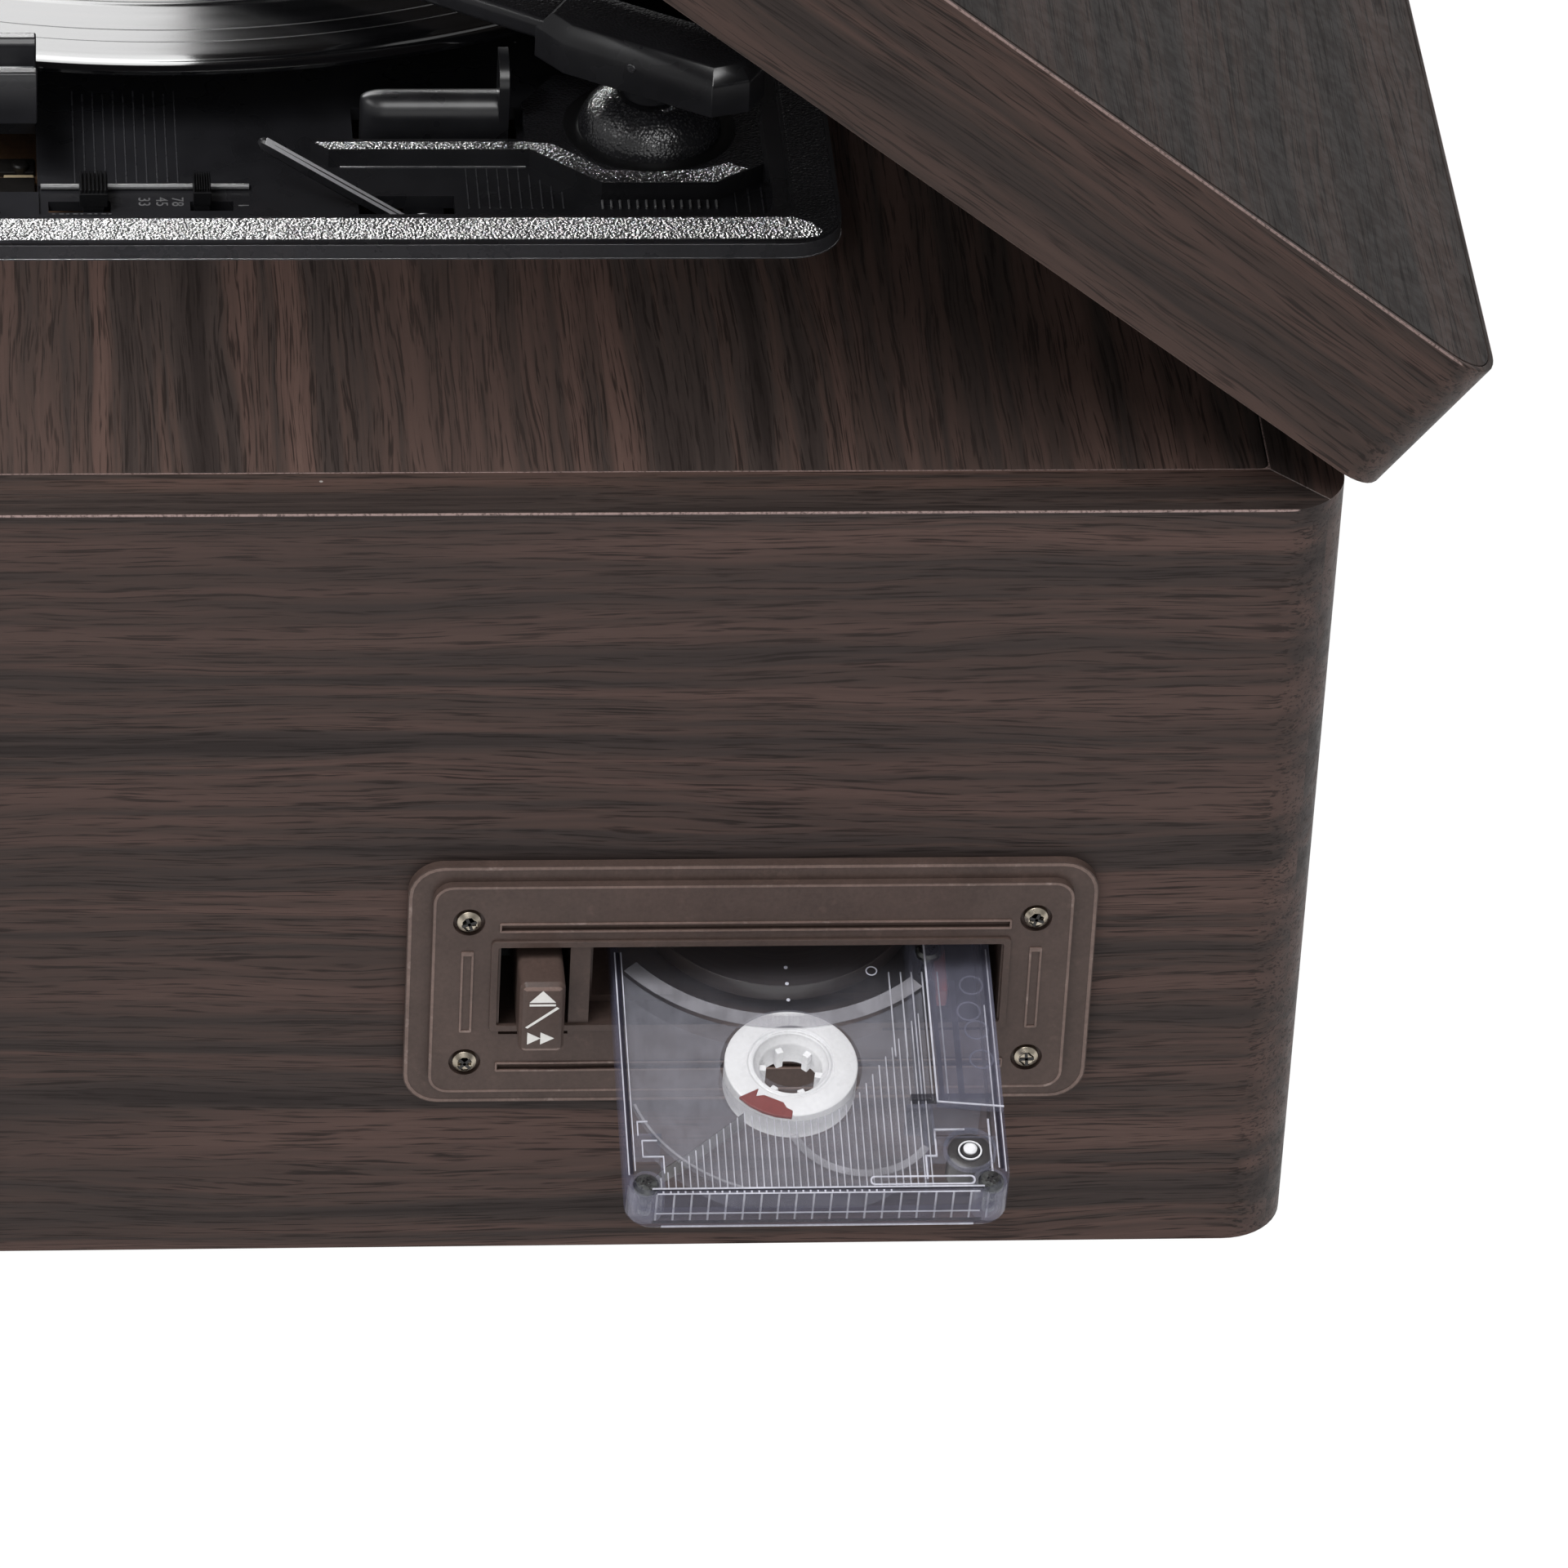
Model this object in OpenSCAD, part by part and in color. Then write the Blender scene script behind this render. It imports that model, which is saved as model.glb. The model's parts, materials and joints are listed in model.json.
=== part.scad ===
// Stereo music centre: wooden cabinet with a hinged lid, a record deck on top,
// a cassette player in the right side and a radio front.
// Frame: +Z up, front faces -Y, right side faces +X. Origin: centre of the
// footprint on the surface it stands on. Millimetres.

/* [Cabinet] */
// Width of the cabinet, left to right
cab_w = 490; // [470:1:520]
// Depth of the cabinet, front to back
cab_d = 370; // [362:1:400]
// Height of the cabinet without its feet
cab_h = 151.2; // [150:0.1:165]
// Thickness of the wooden walls
wall = 12.3; // [10:0.1:15]
// Radius of the upright corners
corner_r = 11; // [6:0.5:11.5]
// Height of the rubber feet below the cabinet
foot_h = 7; // [5:0.5:12]
// Thickness of the inner top panel
top_t = 10; // [8:0.5:12]

/* [Lid] */
// Height of the lid, rim to top
lid_h = 28; // [24:0.5:40]
// Angle at which the lid stands open
lid_open = 38.2; // [0:0.1:60]
// Thickness of the lid's top board
lid_t = 6; // [4:0.5:9]
// Gap between the closed lid's rim and the cabinet
lid_gap = 0.8; // [0.6:0.1:2]
// Distance of the hinge axis behind the back face
hinge_back = 3.1; // [3:0.1:6]
// Distance of the hinge axis below the cabinet's top
hinge_down = 7.1; // [6:0.1:10]

/* [Record deck] */
// Width of the deck plate
deck_w = 336.8; // [330:0.2:340]
// Depth of the deck plate
deck_d = 263.6; // [260:0.2:270]
// Distance of the deck plate's centre from the cabinet's centre, front to back
deck_y = -24.2; // [-26:0.1:-20]
// Height of the deck's rim above the top panel
rim_h = 3.4; // [2:0.1:5]
// Width of the flat band on the rim
rim_w = 8.1; // [6:0.1:10]
// Depth of the deck's floor below the top panel
floor_drop = 7; // [5:0.5:9]
// Record centre, left to right
rec_x = -34; // [-36:0.1:-33]
// Record centre, front to back
rec_y = -6.4; // [-8:0.1:-6]
// Radius of the record
rec_r = 150.8; // [148:0.1:151]
// Radius of the platter
platter_r = 96; // [90:1:96]
// Radius of the centre spindle
spindle_r = 3.55; // [3.5:0.01:3.57]

/* [Tonearm] */
// Arm pivot, left to right
arm_x = 120.6; // [118:0.1:124]
// Arm pivot, front to back
arm_y = 77.7; // [75:0.1:80]
// Angle of the arm from straight ahead, over the record
arm_angle = 30.6; // [0:0.1:40]
// Distance from the pivot to the stylus
arm_len = 194; // [180:1:200]
// Width of the arm's rear body
arm_w = 16.2; // [14:0.1:18]

/* [Cassette player] */
// Width of the cassette bezel, front to back
bez_w = 115.8; // [110:0.1:120]
// Height of the cassette bezel
bez_h = 49.1; // [45:0.1:55]
// Bezel centre, front to back
bez_y = 89.9; // [85:0.1:95]
// Bezel centre above the surface
bez_z = 63.95; // [60:0.05:70]
// Downward tilt of the cassette guide towards its mouth
cas_tilt = 14.32; // [10:0.01:16]
// Length of a cassette
cas_l = 100.4; // [100:0.1:100.8]
// Width of a cassette
cas_w = 63.8; // [63.5:0.1:64]
// Thickness of a cassette
cas_t = 8.7; // [8.5:0.1:9]

/* [Front controls] */
// Radius of the two large knobs
knob_r = 14; // [10:0.5:16]
// Radius of the control shafts
shaft_r = 3; // [2.5:0.1:4]
// Radial clearance of a turning shaft in its hole
run = 0.06; // [0.03:0.01:0.1]
// Outer radius of the loudspeakers
spk_r = 51; // [45:1:55]

/* [Hidden] */
$fn = 64;

top_z = foot_h + cab_h;          // top face of the cabinet
floor_z = top_z - floor_drop;    // deck floor
well_z = floor_z - 6.2;          // floor of the platter's well
well_r = platter_r + 6;
pan_t = 2.5;
rim_z = top_z + lid_gap;         // lid rim when closed
hy = cab_d / 2 + hinge_back;     // hinge axis
hz = top_z - hinge_down;
board_z = 13;                    // top of the bottom board
side = cab_w / 2;
cas_x = side + 47;               // middle of the cassette's outer end
cas_y = 66.7;
cas_z = foot_h + 55.4 - 47 * tan(cas_tilt);
motor_dx = -60;
motor_dy = -62;
motor_d = sqrt(motor_dx * motor_dx + motor_dy * motor_dy);
belt_r = platter_r - 17;
pulley_r = 3.4;
arm_z = 165.5;                   // underside of the arm's rear body
tube_z = 168.5;                  // underside of the arm's tube

// ---- shared shapes -------------------------------------------------
module rrect(w, d, r) {
  union() {
    square([w - 2 * r, d], center = true);
    square([w, d - 2 * r], center = true);
    for (i = [-1, 1], j = [-1, 1])
      translate([i * (w / 2 - r), j * (d / 2 - r)]) circle(r);
  }
}
module slab(w, d, r, z0, z1) {
  translate([0, 0, z0]) linear_extrude(z1 - z0) rrect(w, d, r);
}
// box from its low corner to its high corner
module box(a, b) {
  translate(a) cube([b[0] - a[0], b[1] - a[1], b[2] - a[2]]);
}
// cylinder along X, Y
module cylx(x0, x1, y, z, r) {
  translate([x0, y, z]) rotate([0, 90, 0]) cylinder(h = x1 - x0, r = r);
}
module cyly(y0, y1, x, z, r) {
  translate([x, y0, z]) rotate([-90, 0, 0]) cylinder(h = y1 - y0, r = r);
}
// plate on the right side: outline in Y and Z, thickness in X
module side_plate(x0, x1, w, h, r) {
  translate([x0, bez_y, bez_z]) rotate([90, 0, 90])
    linear_extrude(x1 - x0) rrect(w, h, r);
}
// lid parts are drawn closed, then swung open about the hinge axis
module at_lid() {
  translate([0, hy, hz]) rotate([-lid_open, 0, 0]) translate([0, -hy, -hz])
    children();
}
// cassette frame: origin at the middle of the outer end, +X outward
module at_cassette() {
  translate([cas_x, cas_y, cas_z]) rotate([0, cas_tilt, 0]) children();
}
// arm frame: origin at the pivot, the arm lies along -Y
module at_arm() {
  translate([arm_x, arm_y, 0]) rotate([0, 0, -arm_angle]) children();
}
// pan-head screw along +Z, its head on the plane z = 0
module screw(r, l) {
  difference() {
    union() {
      cylinder(h = 0.9, r = r);
      translate([0, 0, 0.9]) cylinder(h = 0.7, r1 = r, r2 = r * 0.62);
      translate([0, 0, -l]) cylinder(h = l + 0.1, r = r * 0.5);
    }
    translate([-r * 0.6, -0.3, 0.9]) cube([r * 1.2, 0.6, 1]);
    translate([-0.3, -r * 0.6, 0.9]) cube([0.6, r * 1.2, 1]);
  }
}
// outline of a belt round two wheels, the second at +X
function belt_pts(r1, r2, d) = let (a = acos((r1 - r2) / d))
  concat([for (i = [0 : 60]) let (t = a + (360 - 2 * a) * i / 60)
      [r1 * cos(t), r1 * sin(t)]],
    [for (i = [0 : 16]) let (t = -a + 2 * a * i / 16)
      [d + r2 * cos(t), r2 * sin(t)]]);

// ---- cabinet ---------------------------------------------------------
module cabinet() {
  color("#4a3730") difference() {
    slab(cab_w, cab_d, corner_r, foot_h, top_z);
    slab(cab_w - 2 * wall, cab_d - 2 * wall, 1.5, foot_h - 1, top_z + 1);
    // front window
    box([-218, -cab_d / 2 - 1, 20], [218, -cab_d / 2 + wall + 1, 143]);
    // back window with a ledge for the rear panel
    box([-140, cab_d / 2 - wall - 1, 40], [140, cab_d / 2 + 1, 110]);
    box([-150, cab_d / 2 - 3.5, 32], [150, cab_d / 2 + 1, 118]);
    // opening for the cassette bezel
    box([side - wall - 1, 44.9, 49.05], [side + 1, 134.9, 78.85]);
    for (s = bezel_screw_at) cylx(side - wall - 1, side + 1, s[0], s[1], 1.1);
    for (x = hinge_x, dx = [-16, 16], z = [128, 139])
      cyly(cab_d / 2 - 9, cab_d / 2 + 1, x + dx, z, 1.25);
    for (p = rear_screw_at) cyly(cab_d / 2 - 11, cab_d / 2, p[0], p[1], 1.45);
  }
}
module top_panel() {
  color("#4a3730") difference() {
    slab(cab_w - 2 * wall - 0.3, cab_d - 2 * wall - 0.3, 1.2,
      top_z - top_t, top_z);
    translate([0, deck_y, 0])
      slab(deck_w - 16, deck_d - 16, 5, top_z - top_t - 1, top_z + 1);
  }
}
module bottom_board() {
  color("#6b5644") difference() {
    slab(cab_w - 2 * wall - 0.4, cab_d - 2 * wall - 0.4, 1.2,
      board_z - 5, board_z);
    // cooling slots under the transformer and the deck
    for (i = [0 : 7]) translate([-190 + i * 9, 60, board_z - 6])
      linear_extrude(7) rrect(4.5, 50, 2.2);
    for (i = [0 : 7]) translate([20 + i * 9, -60, board_z - 6])
      linear_extrude(7) rrect(4.5, 50, 2.2);
  }
}
module battens() {
  x = side - wall - 0.5;
  y = cab_d / 2 - wall - 0.5;
  color("#b08d62") {
    for (s = [-1, 1]) {
      // rails under the top panel, left and right
      box([min(s * x, s * (x - 14)), -146, top_z - top_t - 15],
          [max(s * x, s * (x - 14)), y - 14.5, top_z - top_t]);
      // upright blocks in the back corners
      box([min(s * x, s * (x - 14)), y - 14, board_z],
          [max(s * x, s * (x - 14)), y, top_z - top_t]);
      // upright blocks behind the baffle
      box([min(s * x, s * (x - 14)), -163.4, board_z],
          [max(s * x, s * (x - 14)), -149.4, top_z - top_t]);
    }
    // rail under the back edge of the top panel
    box([-200, y - 14, top_z - top_t - 15], [200, y, top_z - top_t]);
  }
}
module feet() {
  color("#1c1c1c") for (i = [-1, 1], j = [-1, 1])
    translate([i * 205, j * 145, 0]) difference() {
      union() {
        cylinder(h = 2, r1 = 10.5, r2 = 12);
        translate([0, 0, 2]) cylinder(h = board_z - 5 - 2, r = 12);
      }
      translate([0, 0, -1]) cylinder(h = 4, r = 4);
    }
}

// ---- front -------------------------------------------------------------
module baffle() {
  y0 = -cab_d / 2 + wall;
  color("#26211e") difference() {
    box([-side + wall + 2.1, y0, board_z], [side - wall - 2.1, y0 + 9,
      top_z - top_t - 0.5]);
    for (s = [-1, 1]) cyly(y0 - 1, y0 + 10, s * 148, 82, 42);
    box([-70, y0 - 1, 26], [70, y0 + 10, 139]);
  }
}
module grille(s) {
  color("#4c4038") translate([s * 148, -cab_d / 2 + 9.2, 81.5])
    rotate([90, 0, 0]) linear_extrude(5) rrect(138, 121.6, 4);
  color("#4c4038") translate([s * 148, -cab_d / 2 + wall, 81.5])
    rotate([90, 0, 0]) linear_extrude(wall - 9.1) difference() {
      rrect(130, 114, 3);
      rrect(112, 96, 3);
    }
}
module grille_left() { grille(-1); }
module grille_right() { grille(1); }
spk_y = -cab_d / 2 + wall + 9;
module speaker_baskets() {
  color("#3a3a3c") for (s = [-1, 1]) translate([s * 148, spk_y, 82])
    rotate([-90, 0, 0]) difference() {
      union() {
        cylinder(h = 1.6, r = spk_r);
        translate([0, 0, 1.6]) cylinder(h = 20, r1 = 45, r2 = 24);
        translate([0, 0, 21.6]) cylinder(h = 14, r = 28);
      }
      translate([0, 0, -1]) cylinder(h = 3.2, r = 43);
      translate([0, 0, 2.15]) cylinder(h = 17.5, r1 = 42.9, r2 = 22);
      translate([0, 0, 19]) cylinder(h = 10, r = 10);
      for (a = [45 : 90 : 315]) rotate([0, 0, a]) translate([47, 0, -1])
        cylinder(h = 4, r = 2);
    }
}
module speaker_cones() {
  color("#1d1b1a") for (s = [-1, 1]) translate([s * 148, spk_y, 82])
    rotate([-90, 0, 0]) rotate_extrude($fn = 96) polygon([[0.01, 6.5],
      [8, 7.6], [10, 13], [11, 13], [36, 1.2], [38, 0.2], [40.5, 0.2],
      [42.6, 1], [42.6, 2], [40.5, 1.2], [38, 1.4], [11.5, 15.5],
      [9.5, 21], [8.5, 21], [8.5, 9], [0.01, 8]]);
}
fas_y = -cab_d / 2 + 5;          // front face of the fascia
fas_t = wall - 5;                // it lies against the baffle
module fascia() {
  color("#b99a63") difference() {
    translate([0, fas_y + fas_t, 81.5]) rotate([90, 0, 0])
      linear_extrude(fas_t) rrect(155.6, 121.6, 4);
    // dial window
    translate([0, fas_y + 3, 113]) rotate([90, 0, 0])
      linear_extrude(4) rrect(138, 46, 3);
    translate([0, fas_y + 9, 113]) rotate([90, 0, 0])
      linear_extrude(10) rrect(130, 38, 2);
    // groove that guides the pointer
    box([-56, fas_y + 3.6, 131], [56, fas_y + 6, 134.2]);
    for (x = [-48, 48]) cyly(fas_y - 1, fas_y + 9, x, 58, shaft_r + run);
    cyly(fas_y - 1, fas_y + 9, 0, 62, shaft_r + run);
    box([-8.4, fas_y - 1, 32.6], [8.4, fas_y + 9, 41.4]);
  }
}
module dial_plate() {
  color("#e9dfc0") translate([0, fas_y + fas_t + 1.5, 113])
    rotate([90, 0, 0]) linear_extrude(1.5) rrect(136, 44, 2);
}
module dial_lens() {
  color([0.85, 0.9, 0.92, 0.4]) translate([0, fas_y + 3, 113])
    rotate([90, 0, 0]) linear_extrude(2) rrect(137.6, 45.6, 2.8);
}
module dial_pointer() {
  color("#c8372a") box([-0.6, fas_y + 4, 95.5], [0.6, fas_y + 5, 130.5]);
  color("#c8372a") box([-3, fas_y + 3.9, 130], [3, fas_y + 5.7, 133.8]);
}
// knob with a turned front and its own shaft, along -Y
module knob(x, z, r, h, y) {
  translate([x, y, z]) rotate([90, 0, 0]) difference() {
    union() {
      cylinder(h = 2, r = r);
      translate([0, 0, 2]) cylinder(h = h - 3, r1 = r * 0.9, r2 = r * 0.84);
      translate([0, 0, h - 1]) cylinder(h = 1, r1 = r * 0.84, r2 = r * 0.76);
      translate([0, 0, -27]) cylinder(h = 27.5, r = shaft_r);
      for (a = [0 : 12 : 359]) rotate([0, 0, a]) translate([r * 0.86, 0, 2])
        cylinder(h = h - 4, r = 0.55, $fn = 16);
    }
    translate([0, r * 0.55, h - 0.6]) cylinder(h = 2, r = 1);
  }
}
module tuning_knob() { color("#2a2624") knob(48, 58, knob_r, 13, fas_y - 0.6); }
module volume_knob() { color("#2a2624") knob(-48, 58, knob_r, 13, fas_y - 0.6); }
module function_knob() { color("#2a2624") knob(0, 62, 10, 12, fas_y - 0.6); }
module power_button() {
  color("#2a2624") translate([0, fas_y + 9, 37]) rotate([90, 0, 0])
    linear_extrude(12.5) rrect(16, 8, 2);
}
module main_board() {
  color("#7a5b34") difference() {
    box([-74, -146, 18], [74, -144.4, 137]);
    for (p = [[-48, 58], [48, 58], [0, 62]]) cyly(-147, -143, p[0], p[1], 4);
  }
  color("#55565a") for (p = [[-48, 58], [48, 58], [0, 62]]) difference() {
    translate([p[0] - 9, -159, p[1] - 9]) cube([18, 13, 18]);
    cyly(-160, -149, p[0], p[1], shaft_r + run);
  }
  color("#8c8f94") for (i = [0 : 4])
    translate([-60 + i * 24, -144.4, 110]) rotate([-90, 0, 0])
      cylinder(h = 16, r = 6);
  color("#333") box([-30, -144.4, 80], [30, -132, 92]);
  // power switch behind the button
  color("#55565a") box([-7, -166, 32], [7, -145.9, 42]);
}
module power_transformer() {
  color("#9a9a96") box([-205, 92, board_z], [-150, 98, board_z + 46]);
  color("#9a9a96") box([-205, 128, board_z], [-150, 134, board_z + 46]);
  color("#9a9a96") box([-205, 98, board_z], [-150, 128, board_z + 8]);
  color("#9a9a96") box([-205, 98, board_z + 38], [-150, 128, board_z + 46]);
  color("#b5772f") box([-193, 98.2, board_z + 8.2],
    [-162, 127.8, board_z + 37.8]);
}

// ---- back ------------------------------------------------------------
rear_screw_at = [for (x = [-145, 0, 145], z = [36, 114]) [x, z]];
module rear_panel() {
  color("#222224") difference() {
    box([-149.6, cab_d / 2 - 3.5, 32.4], [149.6, cab_d / 2 - 1, 117.6]);
    for (p = rear_screw_at) cyly(cab_d / 2 - 4, cab_d / 2, p[0], p[1], 1.4);
    for (x = [-112, -94]) cyly(cab_d / 2 - 4, cab_d / 2, x, 62, 4.6);
    box([95.5, cab_d / 2 - 4, 52.5], [118.5, cab_d / 2, 67.5]);
    for (i = [0 : 13]) translate([-20 + i * 7, cab_d / 2, 84])
      rotate([90, 0, 0]) linear_extrude(5) rrect(3, 40, 1.4);
  }
}
module rear_screws() {
  color("#55575c") for (p = rear_screw_at)
    translate([p[0], cab_d / 2 - 1, p[1]]) rotate([-90, 0, 0]) screw(2.8, 9);
}
module audio_jacks() {
  for (x = [-112, -94]) {
    color("#c9c9cc") difference() {
      union() {
        cyly(cab_d / 2 - 10, cab_d / 2 + 6.5, x, 62, 4.5);
        cyly(cab_d / 2 - 1, cab_d / 2 + 0.4, x, 62, 6);
      }
      cyly(cab_d / 2 - 4, cab_d / 2 + 7, x, 62, 1.6);
    }
  }
  color("#2b2b2b") difference() {
    box([-122, cab_d / 2 - 11, 53], [-84, cab_d / 2 - 4.2, 71]);
    for (x = [-112, -94]) cyly(cab_d / 2 - 12, cab_d / 2, x, 62, 4.5);
  }
}
module power_inlet() {
  color("#1a1a1a") difference() {
    union() {
      box([95.8, cab_d / 2 - 22, 52.8], [118.2, cab_d / 2 + 0.6, 67.2]);
      box([90, cab_d / 2 - 1, 50.5], [124, cab_d / 2 + 0.6, 69.5]);
    }
    for (x = [103, 111]) cyly(cab_d / 2 - 15, cab_d / 2 + 1, x, 60, 4.8);
    box([103, cab_d / 2 - 15, 55.2], [111, cab_d / 2 + 1, 64.8]);
  }
  color("#c9c9cc") for (x = [103, 111])
    cyly(cab_d / 2 - 15, cab_d / 2 - 3, x, 60, 1.2);
}

// ---- lid ----------------------------------------------------------------
hinge_x = [-150, 150];
module lid_frame() {
  color("#4a3730") at_lid() difference() {
    slab(cab_w, cab_d, corner_r, rim_z, rim_z + lid_h);
    slab(cab_w - 2 * wall, cab_d - 2 * wall, 1.5, rim_z - 1,
      rim_z + lid_h + 1);
    slab(cab_w - 2.4, cab_d - 2.4, corner_r - 1.2, rim_z + lid_h - lid_t,
      rim_z + lid_h + 1);
    for (x = hinge_x, dx = [-16, 16], z = [165, 175])
      cyly(cab_d / 2 - 9, cab_d / 2 + 1, x + dx, z, 1.25);
  }
}
module lid_top() {
  color("#4a3730") at_lid()
    slab(cab_w - 2.5, cab_d - 2.5, corner_r - 1.25, rim_z + lid_h - lid_t,
      rim_z + lid_h);
}
module lid_bumpers() {
  color("#222") at_lid() for (i = [-1, 1], j = [-1, 1])
    translate([i * 228, j * 170, rim_z - 0.5]) intersection() {
      cylinder(h = 0.5, r = 5);
      translate([i * 5, j * 5, -1]) cube([10, 10, 4], center = true);
    }
}
// knuckles: three on the cabinet leaf, two on the lid leaf
module barrel(x, i0) {
  for (i = [i0 : 2 : 4]) difference() {
    cylx(x - 22 + i * 9 + 0.15, x - 22 + i * 9 + 8.85, hy, hz, 3);
    cylx(x - 30, x + 30, hy, hz, 1.5 + run);
  }
}
module cabinet_hinge_leaves() {
  color("#8d7a4e") for (x = hinge_x) {
    difference() {
      union() {
        box([x - 22, cab_d / 2, 122], [x + 23, cab_d / 2 + 1.3, hz - 3.6]);
        for (i = [0 : 2 : 4])
          box([x - 22 + i * 9 + 0.15, cab_d / 2 + 0.1, hz - 3.7],
              [x - 22 + i * 9 + 8.85, cab_d / 2 + 1.3, hz]);
      }
      for (dx = [-16, 16], z = [128, 139])
        cyly(cab_d / 2 - 1, cab_d / 2 + 2, x + dx, z, 1.7);
      cylx(x - 30, x + 30, hy, hz, 1.5 + run);
    }
    barrel(x, 0);
  }
}
module lid_hinge_leaves() {
  color("#8d7a4e") at_lid() for (x = hinge_x) {
    difference() {
      union() {
        box([x - 22, cab_d / 2, hz + 8.4], [x + 23, cab_d / 2 + 1.3, 181]);
        box([x - 22, cab_d / 2 + 0.4, hz + 3.6],
            [x + 23, cab_d / 2 + 1.3, hz + 8.5]);
        for (i = [1 : 2 : 3])
          box([x - 22 + i * 9 + 0.15, cab_d / 2 + 0.4, hz],
              [x - 22 + i * 9 + 8.85, cab_d / 2 + 1.3, hz + 3.7]);
      }
      for (dx = [-16, 16], z = [165, 175])
        cyly(cab_d / 2 - 1, cab_d / 2 + 2, x + dx, z, 1.7);
      cylx(x - 30, x + 30, hy, hz, 1.5 + run);
    }
    barrel(x, 1);
  }
}
module hinge_pins() {
  color("#8d7a4e") for (x = hinge_x) {
    cylx(x - 22.3, x + 23.3, hy, hz, 1.5);
    cylx(x - 23.4, x - 22.2, hy, hz, 2.3);
  }
}
module hinge_screws() {
  color("#a9945c") for (x = hinge_x, dx = [-16, 16], z = [128, 139])
    translate([x + dx, cab_d / 2 + 1.3, z]) rotate([-90, 0, 0]) screw(2.4, 9);
}
module lid_hinge_screws() {
  color("#a9945c") at_lid() for (x = hinge_x, dx = [-16, 16], z = [165, 175])
    translate([x + dx, cab_d / 2 + 1.3, z]) rotate([-90, 0, 0]) screw(2.4, 9);
}

// ---- record deck --------------------------------------------------------
// raised island round the arm's base, in plan
island = [[139, 68.4], [139, 88.2], [131, 99.2], [108, 99.2], [104, 92],
  [104, 62], [113, 56], [125.5, 56], [125.5, 19], [128.3, 22], [128.3, 56.6]];
module deck_plate() {
  color("#161617") difference() {
    union() {
      translate([0, deck_y, 0]) {
        slab(deck_w, deck_d, 9, top_z, top_z + rim_h);
        slab(deck_w - 17.4, deck_d - 17.4, 4.5, floor_z - pan_t, top_z + 0.1);
      }
      translate([rec_x, rec_y, well_z - pan_t])
        cylinder(h = floor_z - well_z + pan_t, r = well_r + 2, $fn = 128);
      // ears that carry the cue lever's axle
      box([136, 34.5, 141.5], [137.5, 41.5, floor_z - 1]);
      box([143.4, 34.5, 141.5], [144.9, 41.5, floor_z - 1]);
    }
    difference() {
      translate([0, deck_y, 0]) union() {
        slab(deck_w - 2 * rim_w, deck_d - 2 * rim_w, 5, top_z + 1.6,
          top_z + 9);
        slab(deck_w - 22, deck_d - 22, 3.5, floor_z, top_z + 2);
      }
      // island and its dome stay
      translate([0, 0, floor_z - 1]) linear_extrude(4.5) polygon(island);
      translate([arm_x, arm_y, floor_z]) cylinder(h = 9.8, r1 = 15, r2 = 5.2);
      translate([arm_x, arm_y, floor_z]) cylinder(h = 3.5, r = 12.4);
    }
    translate([rec_x, rec_y, well_z])
      cylinder(h = 20, r = well_r, $fn = 128);
    // bearing, pulley and arm post
    translate([rec_x, rec_y, 130]) cylinder(h = 20, r = 6.1);
    translate([rec_x + motor_dx, rec_y + motor_dy, 130])
      cylinder(h = 20, r = 6.5);
    translate([arm_x, arm_y, 130]) cylinder(h = 40, r = shaft_r + run);
    // switch strip with its two slots
    box([134, -27.8, floor_z - 0.6], [143.1, 8.6, floor_z + 1]);
    box([138.2, -26.2, floor_z - 5], [141.6, -15.6, floor_z + 1]);
    box([138.2, -2, floor_z - 5], [141.2, 5.4, floor_z + 1]);
    // slots for the cue lever and the lift bar
    box([137.6, 26.7, floor_z - 5], [143.3, 43.2, floor_z + 1]);
    box([109, 26.6, floor_z - 5], [119.2, 55, floor_z + 1]);
    cylx(135, 146, 38, 146, 1.5 + run);
    // opening beside the arm rest
    box([113.4, -52, floor_z - 5], [136, -27.9, floor_z + 1]);
  }
}
module switch_board() {
  color("#8a6540") difference() {
    box([96, -74, floor_z - 11.6], [150, 16, floor_z - 10]);
    box([136.9, -27.8, floor_z - 12], [142.9, 8, floor_z - 9]);
  }
  // stand-offs up to the underside of the deck
  color("#161617") for (p = [[100, -68], [146, -68], [100, 12], [146, 12]])
    translate([p[0], p[1], floor_z - 10]) cylinder(h = 7.5, r = 2.2);
}
module platter() {
  color("#9c9da0") translate([rec_x, rec_y, 0]) difference() {
    union() {
      translate([0, 0, floor_z + 5.7])
        cylinder(h = 3, r = platter_r, $fn = 128);
      translate([0, 0, floor_z - 1])
        cylinder(h = 7.2, r = platter_r, $fn = 128);
    }
    difference() {
      translate([0, 0, floor_z - 2])
        cylinder(h = 7.7, r = platter_r - 2.5, $fn = 128);
      translate([0, 0, floor_z - 3]) cylinder(h = 10, r = belt_r, $fn = 128);
    }
    difference() {
      translate([0, 0, floor_z - 4])
        cylinder(h = 9.7, r = belt_r - 3, $fn = 128);
      translate([0, 0, floor_z - 5]) cylinder(h = 12, r = 9);
    }
    translate([0, 0, floor_z - 9]) cylinder(h = 20, r = spindle_r + run);
  }
  color("#9c9da0") translate([rec_x, rec_y, 0]) difference() {
    union() {
      translate([0, 0, floor_z - 5.2]) cylinder(h = 6, r = 9);
      translate([0, 0, floor_z - 3.2])
        cylinder(h = 2.3, r = belt_r, $fn = 128);
    }
    difference() {
      translate([0, 0, floor_z - 4]) cylinder(h = 4, r = belt_r - 3, $fn = 128);
      translate([0, 0, floor_z - 6]) cylinder(h = 9, r = 9);
    }
    translate([0, 0, floor_z - 9]) cylinder(h = 20, r = spindle_r + run);
  }
}
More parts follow.
